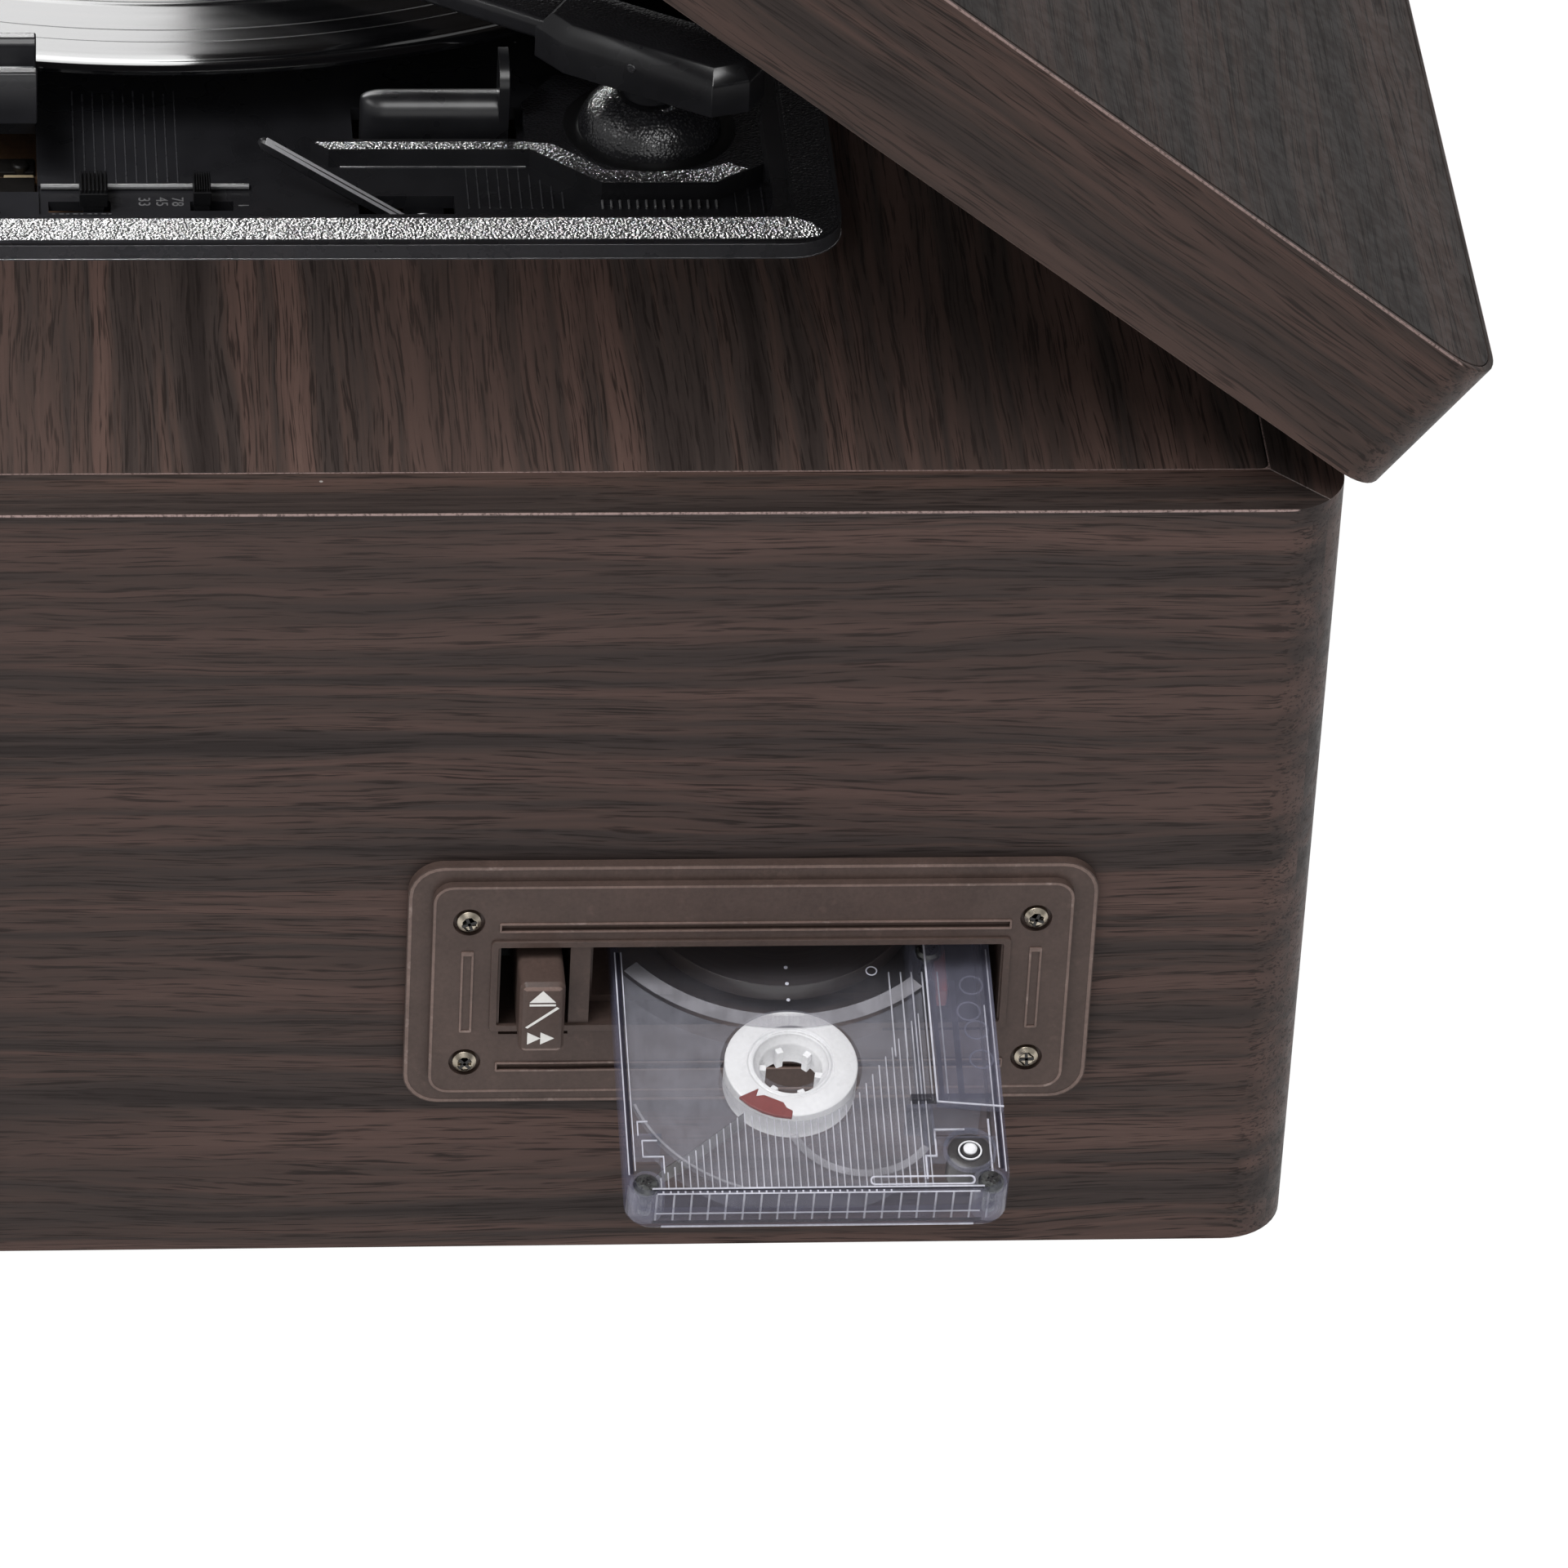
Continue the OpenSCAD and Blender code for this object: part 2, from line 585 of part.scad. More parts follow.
module platter_mat() {
  color("#232325") translate([rec_x, rec_y, floor_z + 8.7]) difference() {
    cylinder(h = 2.2, r = platter_r - 1.5, $fn = 128);
    translate([0, 0, -1]) cylinder(h = 4, r = 4.2);
  }
}
module record() {
  color("#0d0d0e") translate([rec_x, rec_y, floor_z + 10.9])
    rotate_extrude($fn = 180) polygon([[spindle_r + run, 0], [50, 0],
      [50.6, 0.3], [147, 0.3], [148, 0], [rec_r - 0.6, 0], [rec_r, 0.6],
      [rec_r, 1.2], [rec_r - 0.6, 1.8], [148, 1.8], [147, 1.45],
      [50.6, 1.45], [50, 1.8], [spindle_r + run, 1.8]]);
}
module spindle() {
  color("#c8c8ca") translate([rec_x, rec_y, 0]) {
    translate([0, 0, 134]) cylinder(h = 34, r = spindle_r);
    translate([0, 0, 168]) cylinder(h = 3, r1 = spindle_r, r2 = 1.6);
    translate([0, 0, 134]) cylinder(h = well_z + 0.6 - 134, r = 6);
    translate([0, 0, well_z - pan_t - 2.6]) cylinder(h = 2.6, r = 12);
  }
}
module platter_motor() {
  color("#8f9094") translate([rec_x + motor_dx, rec_y + motor_dy, 0])
    difference() {
      union() {
        translate([0, 0, 112]) cylinder(h = 26, r = 16);
        translate([0, 0, 138]) cylinder(h = well_z - pan_t - 138, r = 13);
      }
      translate([0, 0, 111]) cylinder(h = 40, r = 1.2 + run);
    }
}
module motor_pulley() {
  color("#c9a24a") translate([rec_x + motor_dx, rec_y + motor_dy, 0]) {
    translate([0, 0, 120]) cylinder(h = 26, r = 1.2);
    translate([0, 0, 145.5]) cylinder(h = 1, r = 4.4);
    translate([0, 0, 146.4]) cylinder(h = 5.6, r = pulley_r);
    translate([0, 0, 151.9]) cylinder(h = 0.8, r = 4.4);
  }
}
module drive_belt() {
  color("#1b1b1b") translate([rec_x, rec_y, 148.4])
    rotate([0, 0, atan2(motor_dy, motor_dx)]) linear_extrude(2.4)
      difference() {
        polygon(belt_pts(belt_r + 1.3, pulley_r + 1.2, motor_d));
        polygon(belt_pts(belt_r + 0.5, pulley_r + 0.4, motor_d));
      }
}

// ---- tonearm ----------------------------------------------------------
pin_z = arm_z + 5.2;
module arm_yoke() {
  color("#141415") at_arm() difference() {
    union() {
      translate([0, 0, 140]) cylinder(h = 25, r = shaft_r);
      translate([0, 0, floor_z + 10.2]) cylinder(h = 4.4, r = 4.7);
      box([-4.7, -5, arm_z + 0.2], [4.7, 5, arm_z + 6.4]);
    }
    cylx(-7, 7, 0, pin_z, 0.8 + run);
  }
  color("#141415") at_arm() translate([0, 0, 136]) difference() {
    cylinder(h = 4.2, r = 6);
    translate([0, 0, 4.1]) cylinder(h = 2, r = 7);
  }
}
module tonearm() {
  w = arm_w / 2;
  color("#161617") at_arm() difference() {
    union() {
      // rear body
      translate([0, 0, arm_z]) linear_extrude(8.6) polygon([[-w, -13],
        [-w, 15.5], [-3, 20.2], [3, 20.2], [w, 15.5], [w, -13], [5.4, -20],
        [-5.4, -20]]);
      // tube
      translate([0, 0, tube_z]) linear_extrude(4.4) polygon([[-5.4, -19],
        [5.4, -19], [4.2, -60], [3.8, -172], [-3.8, -172], [-4.2, -60]]);
      // head
      translate([0, 0, 166.5]) linear_extrude(6.4) polygon([[-3.8, -168],
        [3.8, -168], [8, -178], [8, -206], [5, -211], [-5, -211],
        [-8, -206], [-8, -178]]);
      box([7, -203, 166.5], [13, -198, 168.2]);
    }
    // hollow underside of the rear body and the head
    box([-w + 1.4, -12, arm_z - 1], [w - 1.4, 15, arm_z + 7.1]);
    box([-6.6, -207, 165], [6.6, -179, 171.4]);
    cylx(-20, 20, 0, pin_z, 0.8);
  }
}
module arm_pivot_pin() {
  color("#b9b9bc") at_arm() cylx(-arm_w / 2 - 0.25, arm_w / 2 + 0.25, 0,
    pin_z, 0.8);
}
module cartridge() {
  color("#7d1f1c") at_arm() {
    box([-5.5, -202, 166.3], [5.5, -184, 171.4]);
    translate([0, -arm_len, 164.5]) cylinder(h = 2, r1 = 0.3, r2 = 1.2);
  }
}
module arm_rest() {
  color("#161617") {
    box([96, -42, floor_z], [113, -28, floor_z + 1.8]);
    box([108.8, -40, floor_z + 1.7], [113, -28, 160.6]);
    box([112.9, -40, 155.6], [116.3, -28, 160.6]);
    box([116.2, -40, 155.6], [119.8, -28, 168.0]);
    box([119.7, -35, 162.6], [129.3, -28, 167.8]);
    box([129.2, -35, 162.6], [132.6, -28, 168.2]);
  }
}

// ---- deck controls ----------------------------------------------------
lever_a = 33.1;
module at_lever() {
  translate([141, 38, 146]) rotate([-lever_a, 0, 0]) children();
}
module cue_lever() {
  color("#2b2b2d") at_lever() {
    box([-1.2, -34, -1.1], [1.2, 2, 1.1]);
    cylx(-1.4, 1.4, 0, 0, 3.2);
    cylx(-4.9, 4.2, 0, 0, 1.5);
  }
}
module cue_lift_bar() {
  color("#1e1e1f") {
    box([110.2, 28, 146], [118, 51.9, 155]);
    intersection() {
      cyly(28, 51.9, 114.1, 153.4, 4.2);
      box([110.2, 28, 154.9], [118, 51.9, 158]);
    }
    translate([0, 53.6, 0]) rotate([90, 0, 0]) linear_extrude(1.8)
      polygon([[118, 146], [118, 161.5], [114, 164.3], [110.2, 164.3],
        [110.2, 146]]);
  }
}
module speed_switch() {
  color("#131314") {
    box([134.6, -20.9, floor_z + 0.3], [141.4, -16.1, floor_z + 3.6]);
    box([138.5, -20.3, floor_z - 8.6], [141.3, -16.7, floor_z + 0.4]);
  }
}
module autostop_switch() {
  color("#131314") {
    box([134.8, -1.5, floor_z + 0.3], [141, 1.5, floor_z + 3.6]);
    box([138.5, -1.3, floor_z - 8.6], [140.9, 1.3, floor_z + 0.4]);
  }
}

// ---- cassette player ---------------------------------------------------
bezel_screw_at = [[42.2, 78.05], [42.2, 48.9], [137.4, 78.05], [137.4, 48.9]];
module tape_bezel() {
  color("#5a4036") difference() {
    union() {
      side_plate(side, side + 1.8, bez_w, bez_h, 6);
      side_plate(side + 1.7, side + 3.2, bez_w - 8.2, bez_h - 6.1, 3.5);
      side_plate(side - 19, side + 0.1, 89.2, 29, 2);
    }
    // key opening
    box([side - 25, 47.7, 54.7], [side + 5, 59.4, 73.1]);
    // cassette mouth and its sloping guide
    box([side - 3, 62.8, 56.8], [side + 5, 131.9, 73.1]);
    at_cassette() {
      translate([-72, -3, -cas_t / 2 - 0.5]) cube([30, 52, 13]);
      translate([-72, 46, -6.6]) cube([30, 19.2, 15]);
    }
    // grooves above and below the mouth
    box([side + 2.6, 47.3, 76.3], [side + 5, 133.4, 77.4]);
    box([side + 2.6, 47.3, 47.2], [side + 5, 133.4, 48.4]);
    for (s = bezel_screw_at) {
      cylx(side - 1, side + 5, s[0], s[1], 1.3);
      cylx(side + 2.2, side + 5, s[0], s[1], 2.7);
    }
  }
}
module bezel_screws() {
  color("#b8b2a6") for (s = bezel_screw_at)
    translate([side + 2.2, s[0], s[1]]) rotate([90, 0, 90]) screw(2.05, 12);
}
module eject_key() {
  color("#5a4036") {
    translate([side - 20, 54.4, 63.7]) rotate([90, 0, 90])
      linear_extrude(31.3) rrect(7.6, 14.2, 1.2);
    cylx(side - 42, side - 19.9, 54.4, 63.7, 2.4);
  }
}
key_turns = 7;
module key_spring() {
  n = 14;
  color("#b9b9bc") translate([side - 34.5, 54.4, 63.7]) rotate([0, 90, 0])
    coil(13.8, 3.5, 0.4, key_turns, n);
}
// round wire wound along +Z
module coil(h, r, w, turns, n) {
  m = turns * n;
  k = 6;
  pts = [for (i = [0 : m], j = [0 : k - 1]) let (a = 360 * i / n,
    b = 360 * j / k, q = r + w * cos(b))
    [q * cos(a), q * sin(a), w + (h - 2 * w) * i / m + w * sin(b)]];
  faces = concat([[for (j = [0 : k - 1]) j]],
    [for (i = [0 : m - 1], j = [0 : k - 1]) [i * k + j, (i + 1) * k + j,
      (i + 1) * k + (j + 1) % k, i * k + (j + 1) % k]],
    [[for (j = [k - 1 : -1 : 0]) m * k + j]]);
  polyhedron(points = pts, faces = faces, convexity = 4);
}
// height of the cassette's middle plane over the cabinet at x
function guide_z(x) = cas_z + (cas_x - x) * tan(cas_tilt);
module tape_chassis() {
  color("#b5b7ba") {
    difference() {
      union() {
        box([138, 46, 44], [222, 146, 45.6]);
        // drive spindles
        for (x = [178, 218.5]) translate([x, 95.7, 36])
          cylinder(h = 24, r = 2.6);
        // bracket that guides the key's stem
        box([side - 36.4, 47.5, 45.5], [side - 34.8, 61.5, 72]);
      }
      cylx(side - 40, side - 30, 54.4, 63.7, 2.75);
      translate([196, 112, 40]) cylinder(h = 10, r = 1.5 + run);
    }
    // legs to the bottom board
    for (p = [[142, 50], [142, 142], [218, 50], [218, 142]])
      translate([p[0], p[1], board_z]) cylinder(h = 44.1 - board_z, r = 3);
    // tilted guide rails under the cassette's edges
    at_cassette() {
      box([-140, -2.6, -6.3], [-75, 3.2, -5.1]);
      box([-140, -2.6, -6.2], [-75, -1.2, 5]);
      box([-140, cas_w - 4, -7.8], [-75, cas_w + 1.6, -6.6]);
      box([-140, cas_w + 0.5, -7.7], [-75, cas_w + 1.8, 6]);
    }
    // posts that carry the rails
    for (x = [160, 212]) {
      box([x, 64.2, 45.5], [x + 3, 65.4, guide_z(x + 3) - 6]);
      box([x, 131.1, 45.5], [x + 3, 132.1, guide_z(x + 3) - 7.4]);
    }
  }
}
module capstan_flywheel() {
  color("#9fa2a6") translate([196, 112, 0]) {
    translate([0, 0, 24]) cylinder(h = 36, r = 1.5);
    translate([0, 0, 33]) cylinder(h = 8, r = 20);
  }
}

// ---- cassette --------------------------------------------------------------
module cassette_outline(inset) {
  translate([-cas_l / 2, cas_w / 2])
    rrect(cas_l - 2 * inset, cas_w - 2 * inset, 3.2 - inset);
}
hub_u = [-28.95, -71.45];
hub_v = 29;
module cassette_shell() {
  color([0.5, 0.5, 0.55, 0.4]) at_cassette() difference() {
    union() {
      translate([0, 0, -cas_t / 2]) linear_extrude(cas_t) cassette_outline(0);
      // thicker head section
      translate([0, 0, -6]) linear_extrude(12) polygon([[-17, cas_w],
        [-19.5, cas_w - 16], [-80.9, cas_w - 16], [-83.4, cas_w]]);
    }
    translate([0, 0, -3.55]) linear_extrude(7.1) cassette_outline(1.2);
    for (u = hub_u) translate([u, hub_v, -8]) cylinder(h = 16, r = 5.6);
    // capstan and locating holes
    for (u = [-37.5, -62.9]) translate([u, cas_w - 8.5, -8])
      cylinder(h = 16, r = 3);
  }
}
module hub() {
  difference() {
    translate([0, 0, -3.1]) cylinder(h = 6.2, r = 10.9);
    translate([0, 0, -4]) cylinder(h = 8, r = 4.8);
  }
  for (a = [0 : 60 : 300]) rotate([0, 0, a])
    box([3.6, -0.8, -3.1], [5, 0.8, 3.1]);
}
module outer_reel() {
  color("#eeeeee") at_cassette() translate([hub_u[0], hub_v, 0]) hub();
}
module inner_reel() {
  color("#eeeeee") at_cassette() translate([hub_u[1], hub_v, 0]) hub();
}
module tape_pack() {
  color("#2a1d1a") at_cassette() translate([hub_u[1], hub_v, -1.9])
    difference() {
      cylinder(h = 3.8, r = 25, $fn = 96);
      translate([0, 0, -1]) cylinder(h = 6, r = 10.95);
    }
}

cabinet();
top_panel();
bottom_board();
battens();
feet();
baffle();
grille_left();
grille_right();
speaker_baskets();
speaker_cones();
fascia();
dial_plate();
dial_lens();
dial_pointer();
tuning_knob();
volume_knob();
function_knob();
power_button();
main_board();
power_transformer();
rear_panel();
rear_screws();
audio_jacks();
power_inlet();
lid_frame();
lid_top();
lid_bumpers();
cabinet_hinge_leaves();
lid_hinge_leaves();
hinge_pins();
hinge_screws();
lid_hinge_screws();
deck_plate();
switch_board();
platter();
platter_mat();
record();
spindle();
platter_motor();
motor_pulley();
drive_belt();
arm_yoke();
tonearm();
arm_pivot_pin();
cartridge();
arm_rest();
cue_lever();
cue_lift_bar();
speed_switch();
autostop_switch();
tape_bezel();
bezel_screws();
eject_key();
key_spring();
tape_chassis();
capstan_flywheel();
cassette_shell();
outer_reel();
inner_reel();
tape_pack();
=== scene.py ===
import json
import math

import bmesh
import bpy
from mathutils import Matrix, Vector
from mathutils.geometry import tessellate_polygon

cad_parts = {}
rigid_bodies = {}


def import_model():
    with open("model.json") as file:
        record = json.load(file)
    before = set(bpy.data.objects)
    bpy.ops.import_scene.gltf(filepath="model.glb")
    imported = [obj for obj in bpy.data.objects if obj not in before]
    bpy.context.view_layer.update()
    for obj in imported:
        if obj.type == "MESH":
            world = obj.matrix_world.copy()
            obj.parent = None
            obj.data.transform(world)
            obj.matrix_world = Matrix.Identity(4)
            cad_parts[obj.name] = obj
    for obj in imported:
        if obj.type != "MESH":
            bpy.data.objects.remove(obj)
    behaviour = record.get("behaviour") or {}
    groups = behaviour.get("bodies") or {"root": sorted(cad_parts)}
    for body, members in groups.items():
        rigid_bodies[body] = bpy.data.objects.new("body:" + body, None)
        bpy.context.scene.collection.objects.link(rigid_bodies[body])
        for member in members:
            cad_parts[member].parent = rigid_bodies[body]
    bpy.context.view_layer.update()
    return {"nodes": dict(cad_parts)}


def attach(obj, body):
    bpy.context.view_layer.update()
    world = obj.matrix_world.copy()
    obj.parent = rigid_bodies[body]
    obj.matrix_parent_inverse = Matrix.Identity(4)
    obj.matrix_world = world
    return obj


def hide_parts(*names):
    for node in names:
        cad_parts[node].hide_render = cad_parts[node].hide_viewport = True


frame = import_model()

N = frame["nodes"]
SCENE = bpy.context.scene
SCENE.view_settings.view_transform = "Standard"

# ---------------------------------------------------------------- frames (mm)
FLOOR_Z = 151.2
TOP_Z = 158.2
RIM_Z = 161.6
HY, HZ, OPEN = 188.1, 151.1, 38.2
ARM = Matrix.Translation((120.6, 77.7, 0)) @ Matrix.Rotation(math.radians(-30.6), 4, "Z")
CAS = Matrix.Translation((292.0, 66.7, 62.4 - 47 * math.tan(math.radians(14.32)))) @ Matrix.Rotation(math.radians(14.32), 4, "Y")
LEVER = Matrix.Translation((141, 38, 146)) @ Matrix.Rotation(math.radians(-33.1), 4, "X")
LID = Matrix.Translation((0, HY, HZ)) @ Matrix.Rotation(math.radians(-OPEN), 4, "X") @ Matrix.Translation((0, -HY, -HZ))


def srgb(r, g, b):
    def f(c):
        c /= 255.0
        return c / 12.92 if c <= 0.04045 else ((c + 0.055) / 1.055) ** 2.4
    return (f(r), f(g), f(b), 1.0)


# ---------------------------------------------------------------- materials
class Graph:
    """A material with the principled shader and short ways to add nodes."""

    def __init__(self, name):
        self.mat = bpy.data.materials.new(name)
        self.mat.use_nodes = True
        self.nodes = self.mat.node_tree.nodes
        self.links = self.mat.node_tree.links
        self.nodes.clear()
        self.out = self.nodes.new("ShaderNodeOutputMaterial")
        self.bsdf = self.nodes.new("ShaderNodeBsdfPrincipled")
        self.links.new(self.bsdf.outputs[0], self.out.inputs["Surface"])
        tc = self.nodes.new("ShaderNodeTexCoord")
        s = self.nodes.new("ShaderNodeVectorMath")
        s.operation = "SCALE"
        s.inputs["Scale"].default_value = 1000.0
        self.links.new(tc.outputs["Object"], s.inputs[0])
        self.p = s.outputs[0]

    def put(self, sock, v):
        if isinstance(v, bpy.types.NodeSocket):
            self.links.new(v, sock)
        elif v is not None:
            sock.default_value = v

    def m(self, op, a, b=None, c=None, clamp=False):
        n = self.nodes.new("ShaderNodeMath")
        n.operation = op
        n.use_clamp = clamp
        self.put(n.inputs[0], a)
        self.put(n.inputs[1], b)
        self.put(n.inputs[2], c)
        return n.outputs[0]

    def xyz(self, v):
        n = self.nodes.new("ShaderNodeSeparateXYZ")
        self.put(n.inputs[0], v)
        return n.outputs[0], n.outputs[1], n.outputs[2]

    def vec(self, x, y, z):
        n = self.nodes.new("ShaderNodeCombineXYZ")
        for s, v in zip(n.inputs, (x, y, z)):
            self.put(s, v)
        return n.outputs[0]

    def mul(self, v, s):
        n = self.nodes.new("ShaderNodeVectorMath")
        n.operation = "MULTIPLY"
        self.put(n.inputs[0], v)
        n.inputs[1].default_value = s
        return n.outputs[0]

    def noise(self, v, scale=1.0, detail=2.0, rough=0.5, warp=0.0):
        n = self.nodes.new("ShaderNodeTexNoise")
        self.put(n.inputs["Vector"], v)
        n.inputs["Scale"].default_value = scale
        n.inputs["Detail"].default_value = detail
        n.inputs["Roughness"].default_value = rough
        n.inputs["Distortion"].default_value = warp
        return n.outputs[0]

    def cells(self, v, scale=1.0, feature="F1", rnd=1.0):
        n = self.nodes.new("ShaderNodeTexVoronoi")
        n.feature = feature
        self.put(n.inputs["Vector"], v)
        n.inputs["Scale"].default_value = scale
        n.inputs["Randomness"].default_value = rnd
        return n

    def step(self, v, lo, hi, a=0.0, b=1.0):
        n = self.nodes.new("ShaderNodeMapRange")
        n.interpolation_type = "SMOOTHSTEP"
        self.put(n.inputs["Value"], v)
        n.inputs["From Min"].default_value = lo
        n.inputs["From Max"].default_value = hi
        n.inputs["To Min"].default_value = a
        n.inputs["To Max"].default_value = b
        return n.outputs[0]

    def within(self, v, lo, hi, soft=0.05):
        return self.m("MULTIPLY", self.step(v, lo - soft, lo + soft), self.step(v, hi - soft, hi + soft, 1.0, 0.0))

    def ramp(self, f, stops, kind="LINEAR"):
        n = self.nodes.new("ShaderNodeValToRGB")
        n.color_ramp.interpolation = kind
        e = n.color_ramp.elements
        e[0].position, e[0].color = stops[0]
        e[1].position, e[1].color = stops[-1]
        for pos, col in stops[1:-1]:
            k = e.new(pos)
            k.color = col
        self.put(n.inputs[0], f)
        return n.outputs[0]

    def mix(self, f, a, b, kind="MIX"):
        n = self.nodes.new("ShaderNodeMix")
        n.data_type = "RGBA"
        n.blend_type = kind
        self.put(n.inputs[0], f)
        self.put(n.inputs[6], a)
        self.put(n.inputs[7], b)
        return n.outputs[2]

    def lerp(self, f, a, b):
        n = self.nodes.new("ShaderNodeMix")
        n.data_type = "FLOAT"
        self.put(n.inputs[0], f)
        self.put(n.inputs[2], a)
        self.put(n.inputs[3], b)
        return n.outputs[0]

    def bump(self, h, strength=0.5, dist=0.0001, normal=None):
        n = self.nodes.new("ShaderNodeBump")
        n.inputs["Strength"].default_value = strength if not isinstance(strength, bpy.types.NodeSocket) else 1.0
        if isinstance(strength, bpy.types.NodeSocket):
            self.links.new(strength, n.inputs["Strength"])
        n.inputs["Distance"].default_value = dist
        self.put(n.inputs["Height"], h)
        if normal is not None:
            self.links.new(normal, n.inputs["Normal"])
        return n.outputs[0]

    def set(self, **kw):
        names = {"color": "Base Color", "metal": "Metallic", "rough": "Roughness", "ior": "IOR", "alpha": "Alpha",
                 "normal": "Normal", "spec": "Specular IOR Level", "aniso": "Anisotropic", "trans": "Transmission Weight",
                 "coat": "Coat Weight", "coat_rough": "Coat Roughness", "sheen": "Sheen Weight",
                 "emit": "Emission Color", "emit_k": "Emission Strength", "sss": "Subsurface Weight"}
        for k, v in kw.items():
            self.put(self.bsdf.inputs[names[k]], v)
        return self.mat


def wood(name, panel=False, lid=False, painted_light_gain=1.0):
    g = Graph(name)
    p = g.p
    if lid:
        n = g.nodes.new("ShaderNodeMapping")
        rot = Matrix.Rotation(math.radians(OPEN), 3, "X")
        c = Vector((0, HY, HZ))
        n.inputs["Location"].default_value = c - rot @ c
        n.inputs["Rotation"].default_value = (math.radians(OPEN), 0, 0)
        g.links.new(p, n.inputs["Vector"])
        p = n.outputs[0]
    x, y, z = g.xyz(p)
    ax = g.m("SUBTRACT", g.m("ABSOLUTE", x), 245.0)
    ay = g.m("SUBTRACT", g.m("ABSOLUTE", y), 185.0)
    top = 187.0 if lid else TOP_Z
    if panel:
        u, v, w = x, y, g.m("ADD", z, 400.0 if lid else 0.0)
        if lid:
            u = g.m("ADD", u, g.m("MULTIPLY", y, 0.16))
    else:
        side = g.m("GREATER_THAN", ax, ay)
        sx = g.m("SIGN", x)
        sy = g.m("SIGN", y)
        u = g.lerp(side, g.m("MULTIPLY_ADD", sy, 430.0, x), g.m("MULTIPLY_ADD", sx, 900.0, y))
        w = g.m("MAXIMUM", ax, ay)
        v = g.m("ADD", z, 300.0 if lid else 0.0)
    q = g.vec(u, w, v)
    # slow and quick waves of the grain
    n0 = g.noise(g.mul(q, (0.0035, 0.03, 0.03)), 1.0, 1.0)
    n1 = g.noise(g.mul(q, (0.018, 0.11, 0.11)), 1.0, 2.0)
    shift = g.m("ADD", g.m("MULTIPLY", g.m("SUBTRACT", n0, 0.5), 16.0), g.m("MULTIPLY", g.m("SUBTRACT", n1, 0.5), 4.0))
    if panel:
        q = g.vec(u, g.m("ADD", v, shift), w)
    else:
        q = g.vec(u, w, g.m("ADD", v, shift))
    bands = g.noise(g.mul(q, (0.0022, 0.085, 0.085)), 1.0, 3.0, 0.55)
    streak = g.noise(g.mul(q, (0.008, 0.42, 0.42)), 1.0, 3.0, 0.6)
    fine = g.noise(g.mul(q, (0.045, 1.5, 1.5)), 1.0, 2.0, 0.6)
    hair = g.noise(g.mul(q, (0.075, 2.6, 2.6)), 1.0, 2.0, 0.55)
    tone = g.m("ADD", g.m("MULTIPLY", bands, 0.62), g.m("MULTIPLY", streak, 0.38))
    grey = srgb(66, 57, 54)
    dark = srgb(50, 43, 41)
    red = srgb(92, 73, 67)
    mid = srgb(78, 64, 59)
    col = g.ramp(tone, [(0.37, dark), (0.45, grey), (0.50, mid), (0.56, red), (0.64, srgb(100, 80, 73))])
    # fine dark fibres, longer where the wood is light
    lines = g.m("MULTIPLY", g.step(fine, 0.50, 0.60), g.step(hair, 0.44, 0.56))
    thin = g.step(hair, 0.57, 0.66)
    ink = g.m("MAXIMUM", g.m("MULTIPLY", lines, 0.78), g.m("MULTIPLY", thin, 0.66))
    col = g.mix(ink, col, srgb(36, 30, 28))
    cloud = g.noise(g.mul(q, (0.004, 0.02, 0.02)), 1.0, 1.0)
    col = g.mix(g.m("MULTIPLY", g.step(cloud, 0.45, 0.7), 0.35), col, grey)
    # small white specks of dust
    c = g.cells(g.mul(p, (1, 1, 1)), 0.055)
    near = g.step(c.outputs["Distance"], 0.012, 0.02, 1.0, 0.0)
    rare = g.step(g.xyz(c.outputs["Color"])[0], 0.60, 0.62)
    dust = g.m("MULTIPLY", near, rare)
    col = g.mix(g.m("MULTIPLY", dust, 0.55), col, srgb(210, 205, 200))
    wear = g.noise(p, 0.35, 2.0, 0.6)
    chip = g.step(g.noise(p, 1.7, 2.0, 0.6), 0.3, 0.55, 0.25, 1.0)
    if not panel:
        # pale line along the top outer edge, partly worn foil and partly painted edge highlight; joint lines on the top
        e = g.m("MAXIMUM", g.m("MULTIPLY", w, -1.0), g.m("SUBTRACT", top, z))
        on_top = g.step(z, top - 0.12, top - 0.04)
        if lid:
            rimline = g.m("MAXIMUM", g.m("ABSOLUTE", w), g.m("ABSOLUTE", g.m("SUBTRACT", z, 159.0)))
            edge = g.m("MULTIPLY", g.step(rimline, 0.08, 0.2, 1.0, 0.0), 0.35)
            edge = g.m("MAXIMUM", edge, g.step(e, 0.25, 0.42, 1.0, 0.0))
        else:
            edge = g.step(e, 0.2, 0.36, 1.0, 0.0)
            inner = g.m("MULTIPLY", g.within(w, -12.9, -12.05, 0.05), on_top)
            edge = g.m("MAXIMUM", edge, g.m("MULTIPLY", inner, 0.8))
            mitre = g.m("MULTIPLY", g.step(g.m("ABSOLUTE", g.m("SUBTRACT", ax, ay)), 0.12, 0.22, 1.0, 0.0), on_top)
            col = g.mix(g.m("MULTIPLY", g.m("MULTIPLY", mitre, chip), 0.55), col, srgb(196, 184, 180))
        # worn foil and painted edge highlight: the pale edge lines are mixed in here
        col = g.mix(g.m("MULTIPLY", edge, g.m("MULTIPLY", chip, 0.62)), col, srgb(205, 178, 172))
